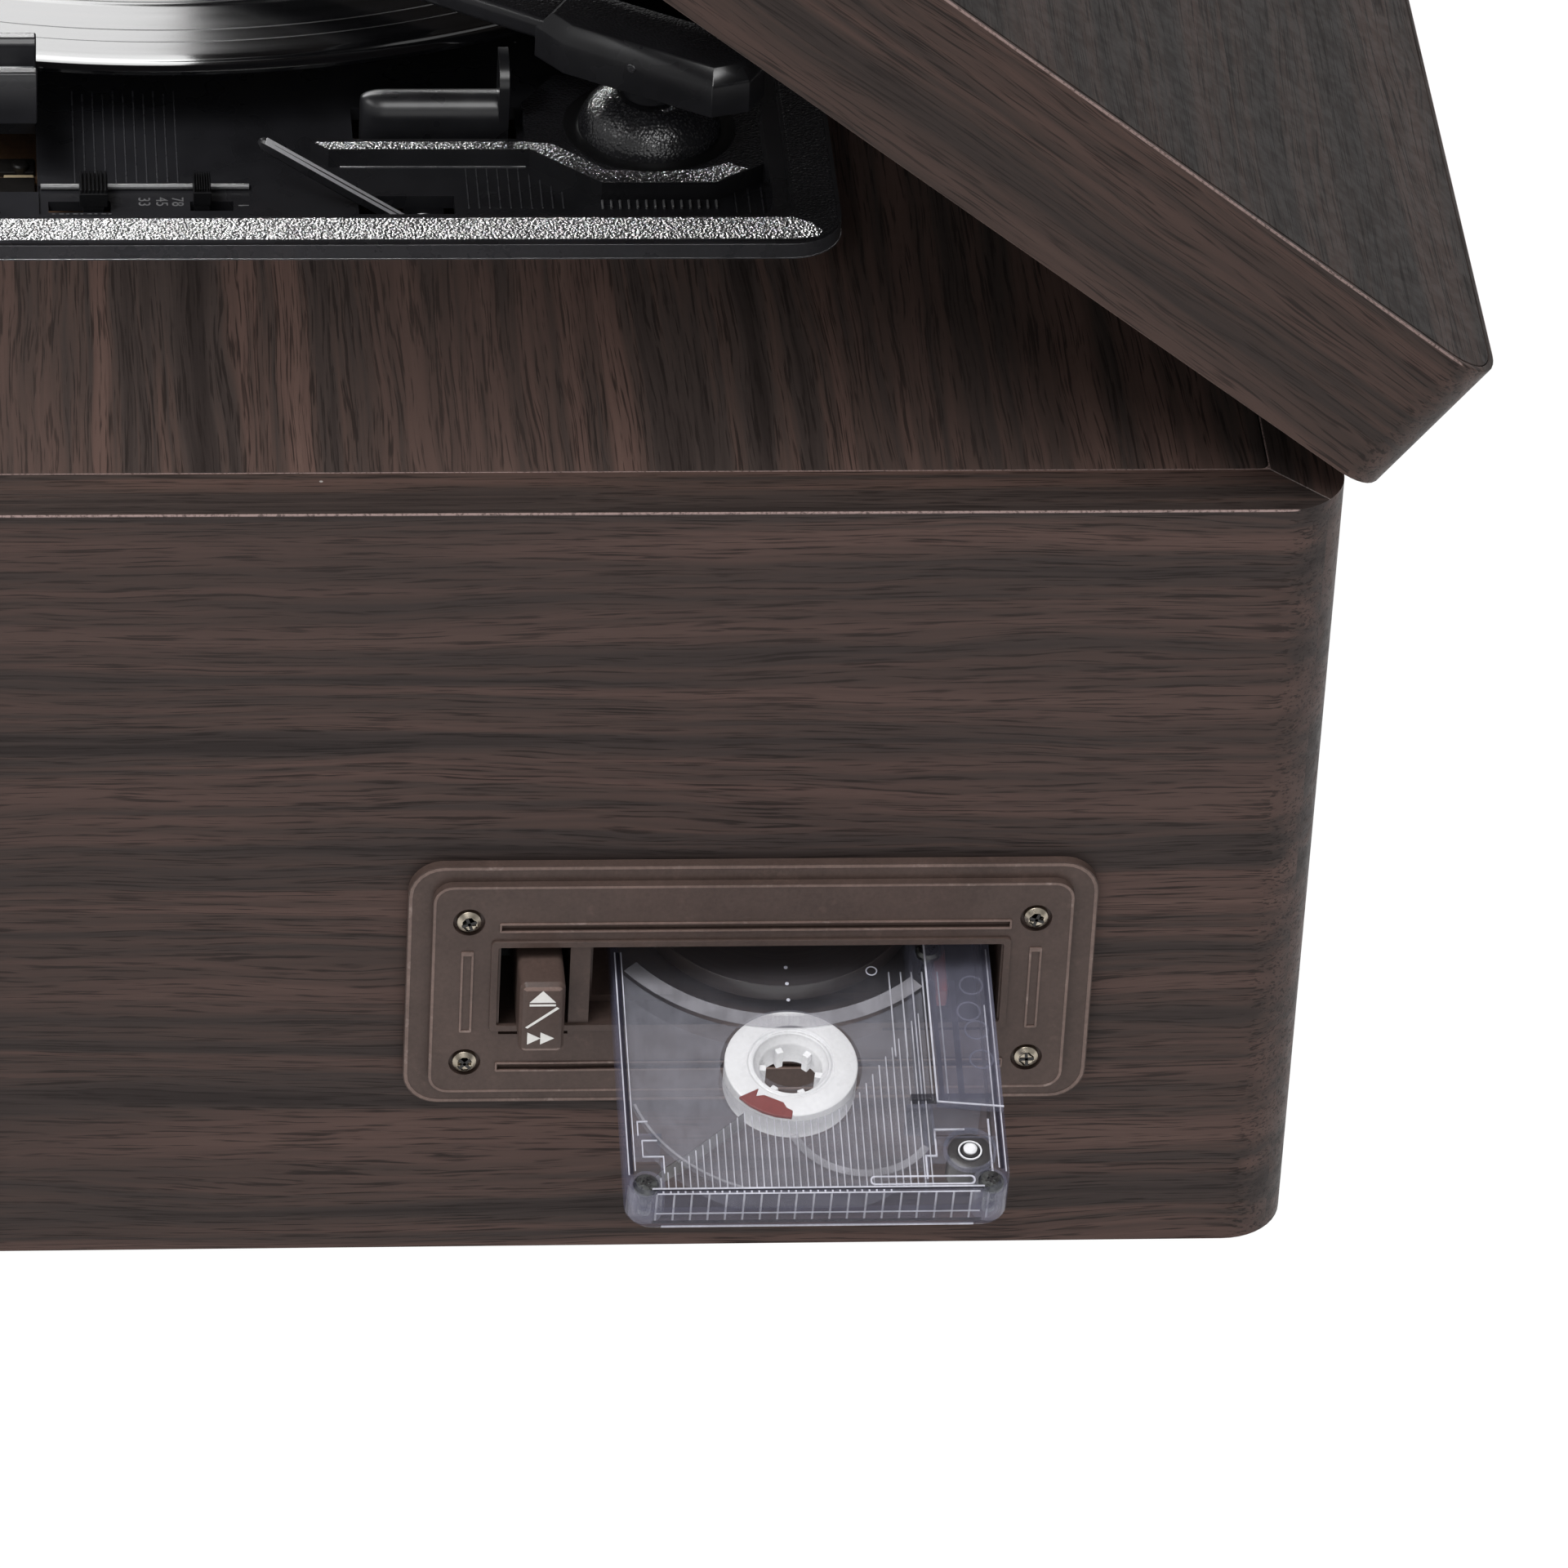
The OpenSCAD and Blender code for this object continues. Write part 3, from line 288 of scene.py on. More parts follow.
        # soft painted sheen near the upright corners: colour mixed a quarter towards a pale grey
        painted_corner_sheen = g.m("MULTIPLY", g.step(ax, -9.0, -1.5), g.step(ay, -9.0, -1.5))
        col = g.mix(g.m("MULTIPLY", painted_corner_sheen, 0.25), col, srgb(96, 88, 86))
        # painted shade: every face of the case but the top is darkened to 0.84
        if not lid:
            col = g.mix(g.m("SUBTRACT", 1.0, on_top), col, g.mix(1.0, col, (0.84, 0.84, 0.86, 1.0), "MULTIPLY"))
    # painted light: the gain makes lighter and darker copies of the same foil
    if painted_light_gain != 1.0:
        col = g.mix(1.0, col, (painted_light_gain, painted_light_gain, painted_light_gain, 1.0), "MULTIPLY")
    h = g.m("ADD", g.m("MULTIPLY", ink, -1.0), g.m("MULTIPLY", g.noise(p, 1.1, 2.0), 0.35))
    rough = g.m("ADD", g.step(wear, 0.3, 0.7, 0.40, 0.52), g.m("MULTIPLY", ink, 0.1))
    return g.set(color=col, rough=rough, spec=0.11, normal=g.bump(h, 0.35, 0.00005))


def plastic(name, rgb, rough=0.35, grain=2.2, depth=0.00003, bump=0.35, spec=0.4, vary=0.10, worn=None, streak=None):
    """Moulded plastic or painted stuff: fine texture, slight colour change, rub marks and streaks where asked."""
    g = Graph(name)
    c = srgb(*rgb)
    k = g.noise(g.p, 0.09, 3.0, 0.6)
    f = g.noise(g.p, 1.4, 2.0, 0.6)
    dark = tuple(v * (1 - vary * 1.6) for v in c[:3]) + (1.0,)
    light = tuple(min(1.0, v * (1 + vary * 1.6)) for v in c[:3]) + (1.0,)
    col = g.ramp(g.m("ADD", g.m("MULTIPLY", k, 0.6), g.m("MULTIPLY", f, 0.4)), [(0.35, dark), (0.5, c), (0.65, light)])
    if worn is not None:
        rub = g.step(g.noise(g.p, 0.25, 4.0, 0.7), 0.56, 0.72)
        col = g.mix(g.m("MULTIPLY", rub, 0.35), col, srgb(*worn))
    if streak is not None:
        s = g.noise(g.mul(g.p, streak), 1.0, 3.0, 0.6)
        col = g.mix(g.m("MULTIPLY", g.step(s, 0.5, 0.7), 0.3), col, dark)
    h = g.noise(g.p, grain, 2.0, 0.5)
    r = g.step(g.noise(g.p, 0.3, 3.0), 0.3, 0.7, max(0.02, rough - 0.06), rough + 0.06)
    return g.set(color=col, rough=r, spec=spec, normal=g.bump(h, bump, depth))


def metal(name, rgb, rough=0.3, brush=(0.05, 3.0, 3.0), depth=0.00001, tarnish=None):
    g = Graph(name)
    c = srgb(*rgb)
    s = g.noise(g.mul(g.p, brush), 1.0, 3.0, 0.6)
    k = g.noise(g.p, 0.12, 3.0, 0.6)
    col = g.ramp(s, [(0.3, tuple(v * 0.82 for v in c[:3]) + (1,)), (0.7, tuple(min(1, v * 1.1) for v in c[:3]) + (1,))])
    if tarnish is not None:
        col = g.mix(g.m("MULTIPLY", g.step(k, 0.5, 0.7), 0.5), col, srgb(*tarnish))
    r = g.step(s, 0.3, 0.7, max(0.03, rough - 0.08), rough + 0.08)
    return g.set(color=col, rough=r, metal=1.0, normal=g.bump(s, 0.4, depth))


def deck_black(name, kind="deck"):
    """Black plastic, smooth and half glossy, with a grained top where the mask says so."""
    g = Graph(name)
    x, y, z = g.xyz(g.p)
    if kind == "deck":
        dx = g.m("SUBTRACT", g.m("ABSOLUTE", x), 168.4)
        dy = g.m("SUBTRACT", g.m("ABSOLUTE", g.m("ADD", y, 24.2)), 131.8)
        out = g.m("MAXIMUM", dx, dy)
        rim = g.m("MULTIPLY", g.step(z, 161.45, 161.58), g.m("MULTIPLY", g.step(out, -1.2, -0.5, 1.0, 0.0), g.step(out, -8.1, -7.4)))
        isle = g.within(z, 154.62, 154.9, 0.04)
        mask = g.m("MAXIMUM", rim, isle)
    elif kind in ("grain", "soft"):
        mask = g.m("ADD", g.m("MULTIPLY", z, 0.0), 1.0)
    else:
        mask = g.m("MULTIPLY", z, 0.0)
    k = g.noise(g.p, 0.06, 3.0, 0.6)
    col = g.ramp(k, [(0.3, srgb(42, 42, 45)), (0.7, srgb(56, 56, 60))])
    c = g.cells(g.p, 0.12)
    speck = g.m("MULTIPLY", g.step(c.outputs["Distance"], 0.02, 0.035, 1.0, 0.0), g.step(g.xyz(c.outputs["Color"])[1], 0.55, 0.57))
    col = g.mix(g.m("MULTIPLY", speck, 0.5), col, srgb(150, 148, 146))
    # leather-like grain: small round bumps with furrows between them
    wob = g.noise(g.p, 1.6, 1.0, 0.5, 0.5)
    cell = g.cells(g.p, 1.9, "F1").outputs["Distance"]
    h = g.m("ADD", g.m("MULTIPLY", wob, 0.8), g.m("MULTIPLY", cell, -1.0))
    grain = g.bump(h, g.m("MULTIPLY", mask, 0.95), 0.00009)
    if kind == "grain":
        # painted sparkle: paler flecks on the tops of the grain bumps
        painted_sparkle = g.step(g.m("ADD", g.m("MULTIPLY", cell, -0.7), g.noise(g.p, 1.9, 1.0)), 0.22, 0.36)
        col = g.mix(g.m("MULTIPLY", painted_sparkle, 0.6), col, srgb(96, 96, 98))
    smear = g.noise(g.mul(g.p, (0.6, 0.6, 0.6)), 1.0, 3.0, 0.6)
    normal = g.bump(smear, 0.05, 0.00004, grain)
    rough = g.lerp(mask, g.step(k, 0.3, 0.7, 0.24, 0.36), 0.19)
    return g.set(color=col, rough=rough, spec=0.95 if kind == "grain" else 0.5, normal=normal)


M = {}
M["wood"] = wood("foil_case")
# top panel, lid and lid top are the case's foil with a painted-light gain: lighter for the panel, darker for the lid,
# darker still for the lid top
M["panel"] = wood("foil_panel", panel=True, painted_light_gain=1.2)
M["lid"] = wood("foil_lid", lid=True, painted_light_gain=0.68)
M["lid_top"] = wood("foil_lid_top", panel=True, lid=True, painted_light_gain=0.38)
M["board"] = plastic("particle_board", (120, 96, 70), 0.75, 0.9, 0.0002, 0.6, 0.2, 0.22, streak=(0.05, 0.6, 0.6))
M["batten"] = plastic("pine", (168, 132, 92), 0.6, 0.9, 0.0001, 0.4, 0.25, 0.14, streak=(0.9, 0.05, 0.9))
M["rubber"] = plastic("rubber", (28, 28, 29), 0.6, 1.6, 0.00006, 0.5, 0.3, 0.16)
M["deck"] = deck_black("deck_black")
M["grain"] = deck_black("deck_grain", "grain")
M["grain_soft"] = deck_black("deck_grain_soft", "soft")
# lighter grey copy of the deck black, for the rim's outer wall and the floor ribs: painted light
M["skirt"] = plastic("rim_side_painted_light", (84, 84, 88), 0.3, 2.0, 0.00001, 0.2, 0.5, 0.08)
M["smooth"] = deck_black("deck_smooth", "smooth")
M["edge"] = plastic("edge_grey", (104, 104, 108), 0.22, 2.0, 0.00001, 0.2, 0.6, 0.1)
M["mark"] = plastic("deck_marks", (150, 150, 152), 0.3, 2.0, 0.00001, 0.2, 0.6, 0.1)
# near-white for the cue lever's chrome edge and the roller pins: painted highlight of bright metal
M["line"] = plastic("painted_metal_highlight", (244, 244, 248), 0.18, 2.0, 0.00001, 0.2, 0.8, 0.05)
M["part"] = plastic("small_part", (36, 34, 33), 0.4, 1.4, 0.00003, 0.3, 0.4, 0.15)
M["slide"] = plastic("slide_black", (30, 30, 32), 0.4, 3.0, 0.00003, 0.4, 0.45, 0.12)
M["brown"] = plastic("bezel_brown", (80, 66, 61), 0.38, 2.6, 0.00004, 0.45, 0.22, 0.10, worn=(102, 84, 77))
# paler brown for bezel edges, bars and the key's bevel: wear and painted edge highlight
M["brown_worn"] = plastic("bezel_brown_worn", (116, 97, 90), 0.4, 2.6, 0.00004, 0.5, 0.3, 0.14, worn=(176, 160, 154))
# darker brown for inside the bezel: painted shade of the recess
M["brown_dark"] = plastic("bezel_inside_painted_shade", (44, 33, 29), 0.5, 2.6, 0.00004, 0.4, 0.3, 0.12)
M["white"] = plastic("white_print", (232, 230, 226), 0.5, 3.0, 0.00001, 0.2, 0.3, 0.04)
M["pcb"] = plastic("board_brown", (124, 95, 72), 0.5, 1.2, 0.00003, 0.3, 0.35, 0.14, streak=(0.05, 1.2, 0.05))
M["cream"] = plastic("cream", (226, 206, 170), 0.45, 2.0, 0.00002, 0.3, 0.4, 0.06)
M["steel"] = metal("steel", (190, 190, 194), 0.28)
M["silver"] = plastic("silver_grey", (150, 152, 156), 0.3, 2.0, 0.00001, 0.2, 0.6, 0.1)
M["screw"] = metal("screw_steel", (186, 176, 160), 0.34, (0.8, 0.8, 0.8), 0.00002, (120, 106, 90))
M["screw_dark"] = metal("screw_shell", (112, 114, 112), 0.32, (0.8, 0.8, 0.8), 0.00002, (70, 72, 70))
M["brass"] = metal("brass", (190, 150, 78), 0.3, (0.6, 0.6, 0.6), 0.00001, (120, 92, 50))
M["hinge"] = metal("hinge_brass", (176, 146, 88), 0.36, (0.5, 0.5, 1.8), 0.00002, (112, 90, 52))
M["platter"] = metal("platter_cast", (150, 151, 154), 0.42, (0.7, 0.7, 0.7), 0.00004)
M["mat"] = plastic("mat_rubber", (34, 34, 36), 0.7, 1.2, 0.0001, 0.5, 0.2, 0.14)
M["label"] = plastic("label_paper", (142, 44, 36), 0.6, 2.0, 0.00003, 0.4, 0.3, 0.08)
M["motor"] = metal("motor_can", (142, 143, 148), 0.4, (0.8, 0.8, 0.2))
M["iron"] = plastic("iron_core", (118, 118, 114), 0.55, 2.0, 0.00006, 0.5, 0.4, 0.2, streak=(0.05, 0.05, 1.6))
M["cone"] = plastic("paper_cone", (34, 31, 29), 0.85, 1.1, 0.00012, 0.6, 0.15, 0.2)
M["basket"] = plastic("basket_grey", (62, 62, 65), 0.5, 1.6, 0.00004, 0.4, 0.4, 0.12)
M["back"] = plastic("hardboard", (40, 38, 37), 0.62, 0.8, 0.00008, 0.6, 0.3, 0.18, streak=(0.6, 0.6, 0.1))
M["knob"] = plastic("knob_black", (40, 36, 34), 0.32, 2.4, 0.00002, 0.3, 0.5, 0.1)
M["pointer"] = plastic("pointer_red", (196, 52, 38), 0.35, 2.0, 0.00001, 0.2, 0.5, 0.06)
M["chassis"] = metal("zinc_plate", (176, 178, 180), 0.38, (0.25, 0.25, 0.25), 0.00002, (150, 140, 110))
M["print"] = plastic("dark_print", (44, 36, 30), 0.5, 3.0, 0.00001, 0.2, 0.3, 0.05)
M["clip"] = plastic("clip_red", (134, 64, 60), 0.4, 2.0, 0.00001, 0.2, 0.4, 0.08)
M["hub"] = plastic("hub_white", (236, 236, 238), 0.3, 2.0, 0.00001, 0.2, 0.5, 0.04)


def tape_mat():
    g = Graph("tape_pack")
    x, y, z = g.xyz(g.p)
    c = CAS @ Vector((-71.45, 29, 0))
    r = g.m("SQRT", g.m("ADD", g.m("POWER", g.m("SUBTRACT", x, c.x), 2.0), g.m("POWER", g.m("SUBTRACT", y, c.y), 2.0)))
    rings = g.noise(g.vec(g.m("MULTIPLY", r, 1.9), 0.0, 0.0), 1.0, 3.0, 0.7)
    col = g.ramp(rings, [(0.3, srgb(38, 31, 29)), (0.7, srgb(62, 53, 50))])
    return g.set(color=col, rough=0.3, spec=0.5, normal=g.bump(rings, 0.3, 0.00004))


def vinyl_mat():
    g = Graph("vinyl")
    x, y, z = g.xyz(g.p)
    r = g.m("SQRT", g.m("ADD", g.m("POWER", g.m("ADD", x, 34.0), 2.0), g.m("POWER", g.m("ADD", y, 6.4), 2.0)))
    ring = g.noise(g.vec(g.m("MULTIPLY", r, 3.2), 0.0, 0.0), 1.0, 4.0, 0.8)
    slow = g.noise(g.vec(g.m("MULTIPLY", r, 0.35), 0.0, 0.0), 1.0, 2.0, 0.6)
    grooved = g.m("MULTIPLY", g.step(r, 56.0, 58.0), g.step(r, 145.0, 146.0, 1.0, 0.0))
    line = g.within(r, 141.2, 141.45, 0.08)
    for a in (137.4, 128.0, 109.0, 92.0, 74.0):
        line = g.m("MAXIMUM", line, g.within(r, a - 0.16, a + 0.16, 0.08))
    col = g.ramp(slow, [(0.3, srgb(15, 15, 17)), (0.7, srgb(24, 24, 27))])
    c = g.cells(g.p, 0.16)
    speck = g.m("MULTIPLY", g.step(c.outputs["Distance"], 0.02, 0.04, 1.0, 0.0), g.step(g.xyz(c.outputs["Color"])[2], 0.5, 0.52))
    col = g.mix(g.m("MULTIPLY", speck, 0.5), col, srgb(120, 120, 120))
    scuff = g.noise(g.p, 1.6, 3.0, 0.7)
    n1 = g.bump(g.m("MULTIPLY", ring, grooved), 0.08, 0.00002)
    n2 = g.bump(scuff, 0.06, 0.00002, n1)
    rough = g.lerp(line, g.lerp(grooved, 0.07, g.step(slow, 0.3, 0.7, 0.13, 0.17)), 0.5)
    return g.set(color=col, rough=rough, spec=0.7, normal=n2)


def clear_mat(name, tint, alpha, rough=0.08, rim=0.5):
    """Clear or slightly milky moulded plastic sheet."""
    g = Graph(name)
    k = g.noise(g.p, 0.16, 3.0, 0.6)
    f = g.noise(g.mul(g.p, (0.3, 1.6, 0.3)), 1.0, 2.0, 0.6)
    c = srgb(*tint)
    col = g.ramp(k, [(0.3, tuple(v * 0.85 for v in c[:3]) + (1,)), (0.7, c)])
    fres = g.nodes.new("ShaderNodeLayerWeight")
    fres.inputs["Blend"].default_value = 0.35
    a = g.m("ADD", g.m("MULTIPLY", g.m("POWER", fres.outputs["Facing"], 2.0), rim), g.step(g.m("ADD", g.m("MULTIPLY", k, 0.7), g.m("MULTIPLY", f, 0.3)), 0.3, 0.7, alpha * 0.75, alpha * 1.25), clamp=True)
    return g.set(color=col, rough=rough, spec=0.6, alpha=a, normal=g.bump(k, 0.25, 0.0001))


def cloth_mat():
    g = Graph("grille_cloth")
    x, y, z = g.xyz(g.p)
    tx = g.m("MULTIPLY", x, 2 * math.pi / 1.7)
    tz = g.m("MULTIPLY", z, 2 * math.pi / 1.7)
    sx, sz = g.m("SINE", tx), g.m("SINE", tz)
    over = g.m("GREATER_THAN", g.m("MULTIPLY", g.m("SINE", g.m("MULTIPLY", tx, 0.5)), g.m("SINE", g.m("MULTIPLY", tz, 0.5))), 0.0)
    warp = g.m("ABSOLUTE", g.m("SINE", g.m("MULTIPLY", tx, 0.5)))
    weft = g.m("ABSOLUTE", g.m("SINE", g.m("MULTIPLY", tz, 0.5)))
    h = g.lerp(over, warp, weft)
    fuzz = g.noise(g.p, 3.0, 3.0, 0.7)
    slub = g.noise(g.mul(g.p, (0.05, 0.5, 0.9)), 1.0, 2.0, 0.6)
    a, b = srgb(74, 60, 48), srgb(40, 32, 27)
    col = g.mix(g.step(g.m("ADD", g.m("MULTIPLY", h, 0.7), g.m("MULTIPLY", fuzz, 0.3)), 0.3, 0.8), b, a)
    col = g.mix(g.m("MULTIPLY", g.step(slub, 0.5, 0.7), 0.4), col, srgb(104, 88, 68))
    return g.set(color=col, rough=0.85, spec=0.15, sheen=0.2, normal=g.bump(g.m("ADD", h, g.m("MULTIPLY", fuzz, 0.4)), 0.8, 0.0003))


def fascia_mat():
    g = Graph("fascia_gold")
    s = g.noise(g.mul(g.p, (0.02, 2.2, 3.4)), 1.0, 4.0, 0.7)
    k = g.noise(g.p, 0.05, 2.0)
    col = g.ramp(g.m("ADD", g.m("MULTIPLY", s, 0.7), g.m("MULTIPLY", k, 0.3)), [(0.3, srgb(150, 124, 78)), (0.7, srgb(206, 180, 128))])
    return g.set(color=col, rough=g.step(s, 0.3, 0.7, 0.28, 0.42), metal=1.0, normal=g.bump(s, 0.5, 0.00002))


M["tape"] = tape_mat()
M["vinyl"] = vinyl_mat()
M["shell"] = clear_mat("shell_clear", (206, 206, 220), 0.022, 0.05, 0.18)
M["wall"] = clear_mat("shell_wall", (118, 118, 142), 0.13, 0.06, 0.4)
M["liner"] = clear_mat("liner_milky", (176, 176, 188), 0.15, 0.35, 0.1)
M["arc"] = clear_mat("liner_pale", (206, 204, 212), 0.26, 0.4, 0.1)
# pale, half-opaque sheet for the clear ribs: painted highlight
M["rib"] = clear_mat("rib_painted_highlight", (232, 232, 242), 0.46, 0.15, 0.3)
# pale, nearly opaque for bright edge lines on the clear shell: painted glints
M["glint"] = clear_mat("painted_edge_glint", (232, 232, 244), 0.72, 0.1, 0.3)
M["frost"] = clear_mat("shell_frosted", (160, 160, 182), 0.15, 0.12, 0.35)
# dark, fairly opaque strips where the clear walls bend the light: painted shade
M["smoke"] = clear_mat("shell_painted_edge_shade", (44, 43, 54), 0.55, 0.1, 0.3)
M["lens"] = clear_mat("lens_clear", (225, 235, 238), 0.10, 0.04, 0.75)
M["cloth"] = cloth_mat()
M["fascia"] = fascia_mat()


# ---------------------------------------------------------------- mesh tools
def rrect(w, d, r, n=6, cx=0.0, cy=0.0):
    pts = []
    for sx, sy, a0 in ((1, 1, 0), (-1, 1, 90), (-1, -1, 180), (1, -1, 270)):
        for i in range(n + 1):
            a = math.radians(a0 + 90 * i / n)
            pts.append((cx + sx * (w / 2 - r) + r * math.cos(a), cy + sy * (d / 2 - r) + r * math.sin(a)))
    return pts


def circle(r, n=32, cx=0.0, cy=0.0):
    return [(cx + r * math.cos(2 * math.pi * i / n), cy + r * math.sin(2 * math.pi * i / n)) for i in range(n)]


def inset(pts, d):
    """A convex counter-clockwise outline moved inwards by d."""
    n = len(pts)
    out = []
    for i in range(n):
        a, b, c = Vector(pts[i - 1]), Vector(pts[i]), Vector(pts[(i + 1) % n])
        e1, e2 = (b - a).normalized(), (c - b).normalized()
        n1, n2 = Vector((-e1.y, e1.x)), Vector((-e2.y, e2.x))
        k = n1 + n2
        k = k / max(1e-6, k.dot(n1))
        out.append(tuple(b + k * d))
    return out


class Part:
    """Collects closed solids, in millimetres, and makes one object of them."""

    def __init__(self):
        self.v, self.f, self.k = [], [], []

    def add(self, verts, faces, m=None, k=0):
        o = len(self.v)
        for p in verts:
            q = Vector(p)
            self.v.append(m @ q if m is not None else q)
        for f in faces:
            self.f.append([i + o for i in f])
            self.k.append(k)
        return self

    def loft(self, rings, m=None, caps=True, closed=False, k=0):
        n = len(rings[0])
        verts = [p for r in rings for p in r]
        faces = []
        last = len(rings)
        for j in range(last if closed else last - 1):
            a, b = j * n, ((j + 1) % last) * n
            for i in range(n):
                faces.append([a + i, a + (i + 1) % n, b + (i + 1) % n, b + i])
        if caps and not closed:
            faces.append(list(range(n))[::-1])
            faces.append([(last - 1) * n + i for i in range(n)])
        return self.add(verts, faces, m, k)

    def prism(self, pts, z0, z1, m=None, k=0, top=0.0):
        rings = [[(x, y, z0) for x, y in pts], [(x, y, z1 - top) for x, y in pts]]
        if top:
            rings.append([(x, y, z1) for x, y in inset(pts, top)])
        return self.loft(rings, m, k=k)

    def box(self, a, b, m=None, k=0):
        return self.prism([(a[0], a[1]), (b[0], a[1]), (b[0], b[1]), (a[0], b[1])], a[2], b[2], m, k)

    def frame(self, outer, inner, z0, z1, m=None, k=0):
        return self.loft([[(x, y, z0) for x, y in outer], [(x, y, z1) for x, y in outer],
                          [(x, y, z1) for x, y in inner], [(x, y, z0) for x, y in inner]], m, closed=True, k=k)

    def plate(self, outer, holes, z0, z1, m=None, k=0):
        """Flat plate of any outline with holes."""
        loops = [outer] + list(holes)
        flat = [p for lp in loops for p in lp]
        n = len(flat)
        tris = tessellate_polygon([[Vector((a, b, 0)) for a, b in lp] for lp in loops])
        verts = [(a, b, z0) for a, b in flat] + [(a, b, z1) for a, b in flat]
        faces = [list(t) for t in tris] + [[i + n for i in t] for t in tris]
        o = 0
        for lp in loops:
            c = len(lp)
            for i in range(c):
                j = (i + 1) % c
                faces.append([o + i, o + j, n + o + j, n + o + i])
            o += c
        return self.add(verts, faces, m, k)

    def lathe(self, prof, seg=48, m=None, closed=False, k=0):
        verts, rows = [], []
        for r, z in prof:
            if r < 1e-6:
                rows.append([len(verts)] * seg)
                verts.append((0, 0, z))
            else:
                rows.append(list(range(len(verts), len(verts) + seg)))
                verts += [(r * math.cos(2 * math.pi * i / seg), r * math.sin(2 * math.pi * i / seg), z) for i in range(seg)]
        faces = []
        pairs = list(zip(rows, rows[1:])) + ([(rows[-1], rows[0])] if closed else [])
        for a, b in pairs:
            for i in range(seg):
                j = (i + 1) % seg
                q = []
                for t in (a[i], a[j], b[j], b[i]):
                    if t not in q:
                        q.append(t)
                if len(q) > 2:
                    faces.append(q)
        return self.add(verts, faces, m, k)

    def tube(self, path, r, seg=10, m=None, k=0):
        rings = []
        path = [Vector(p) for p in path]
        up = Vector((0.13, 0.31, 0.94)).normalized()
        for i, p in enumerate(path):
            t = (path[min(i + 1, len(path) - 1)] - path[max(i - 1, 0)]).normalized()
            a = t.cross(up).normalized()
            b = t.cross(a).normalized()
            rings.append([tuple(p + a * r * math.cos(2 * math.pi * j / seg) + b * r * math.sin(2 * math.pi * j / seg)) for j in range(seg)])
        return self.loft(rings, m, k=k)

    def make(self, name, mats, body="cabinet_body", replaces=(), bevel=0.0, angle=35, seg=2, pick=None):
        me = bpy.data.meshes.new(name)
        bm = bmesh.new()
        vs = [bm.verts.new(p * 0.001) for p in self.v]
        for f, k in zip(self.f, self.k):
            try:
                bf = bm.faces.new([vs[i] for i in f])
                bf.material_index = k
            except ValueError:
                pass
        bmesh.ops.remove_doubles(bm, verts=bm.verts, dist=1e-7)
        bmesh.ops.recalc_face_normals(bm, faces=bm.faces)
        if pick is not None:
            for bf in bm.faces:
                bf.material_index = pick(bf.calc_center_median() * 1000, bf.normal)
        bm.to_mesh(me)
        bm.free()
        me.shade_smooth()
        me.set_sharp_from_angle(angle=math.radians(angle))
        ob = bpy.data.objects.new(name, me)
        SCENE.collection.objects.link(ob)
        for mt in (mats if isinstance(mats, (list, tuple)) else [mats]):
            me.materials.append(mt)
        if bevel:
            b = ob.modifiers.new("edges", "BEVEL")
            b.width = bevel * 0.001
            b.segments = seg
            b.limit_method = "ANGLE"
            b.angle_limit = math.radians(angle)
            b.use_clamp_overlap = True
            b.harden_normals = True
        if replaces:
            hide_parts(*replaces)
        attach(ob, body)
        return ob


SX = Matrix(((0, 0, 1, 0), (1, 0, 0, 0), (0, 1, 0, 0), (0, 0, 0, 1)))  # outline in Y,Z; thickness along X
SY = Matrix(((1, 0, 0, 0), (0, 0, -1, 0), (0, 1, 0, 0), (0, 0, 0, 1)))  # outline in X,Z; thickness towards -Y


def text(name, s, size, m, mat, body="cabinet_body", align="CENTER", depth=0.03):
    cu = bpy.data.curves.new(name, "FONT")
    cu.body = s
    cu.size = size * 0.001
    cu.extrude = depth * 0.001
    cu.align_x = align
    cu.align_y = "CENTER"
    cu.resolution_u = 3
    cu.materials.append(mat)
    ob = bpy.data.objects.new(name, cu)
    SCENE.collection.objects.link(ob)
    mm = m.copy()
    mm.translation = m.translation * 0.001
    ob.matrix_world = mm
    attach(ob, body)
    return ob


def dress(node, mat, bevel=0.4, angle=40, segs=2, merge=True):
    """Finish for a CAD node: merged vertices, softened edges, its material."""
    ob = N[node]
    me = ob.data
    a = me.attributes.get("custom_normal")
    if a is not None:
        me.attributes.remove(a)
    me.shade_smooth()
    me.materials.clear()
    me.materials.append(mat)
    w = ob.modifiers.new("weld", "WELD")
    w.merge_threshold = 1e-6
    if merge:
        d = ob.modifiers.new("planes", "DECIMATE")
        d.decimate_type = "DISSOLVE"
        d.angle_limit = math.radians(0.4)
    if bevel:
        b = ob.modifiers.new("edges", "BEVEL")
        b.width = bevel * 0.001
        b.segments = segs
        b.limit_method = "ANGLE"
        b.angle_limit = math.radians(angle)
        b.use_clamp_overlap = False
        b.harden_normals = True
    else:
        e = ob.modifiers.new("split", "EDGE_SPLIT")
        e.split_angle = math.radians(angle)
    return ob


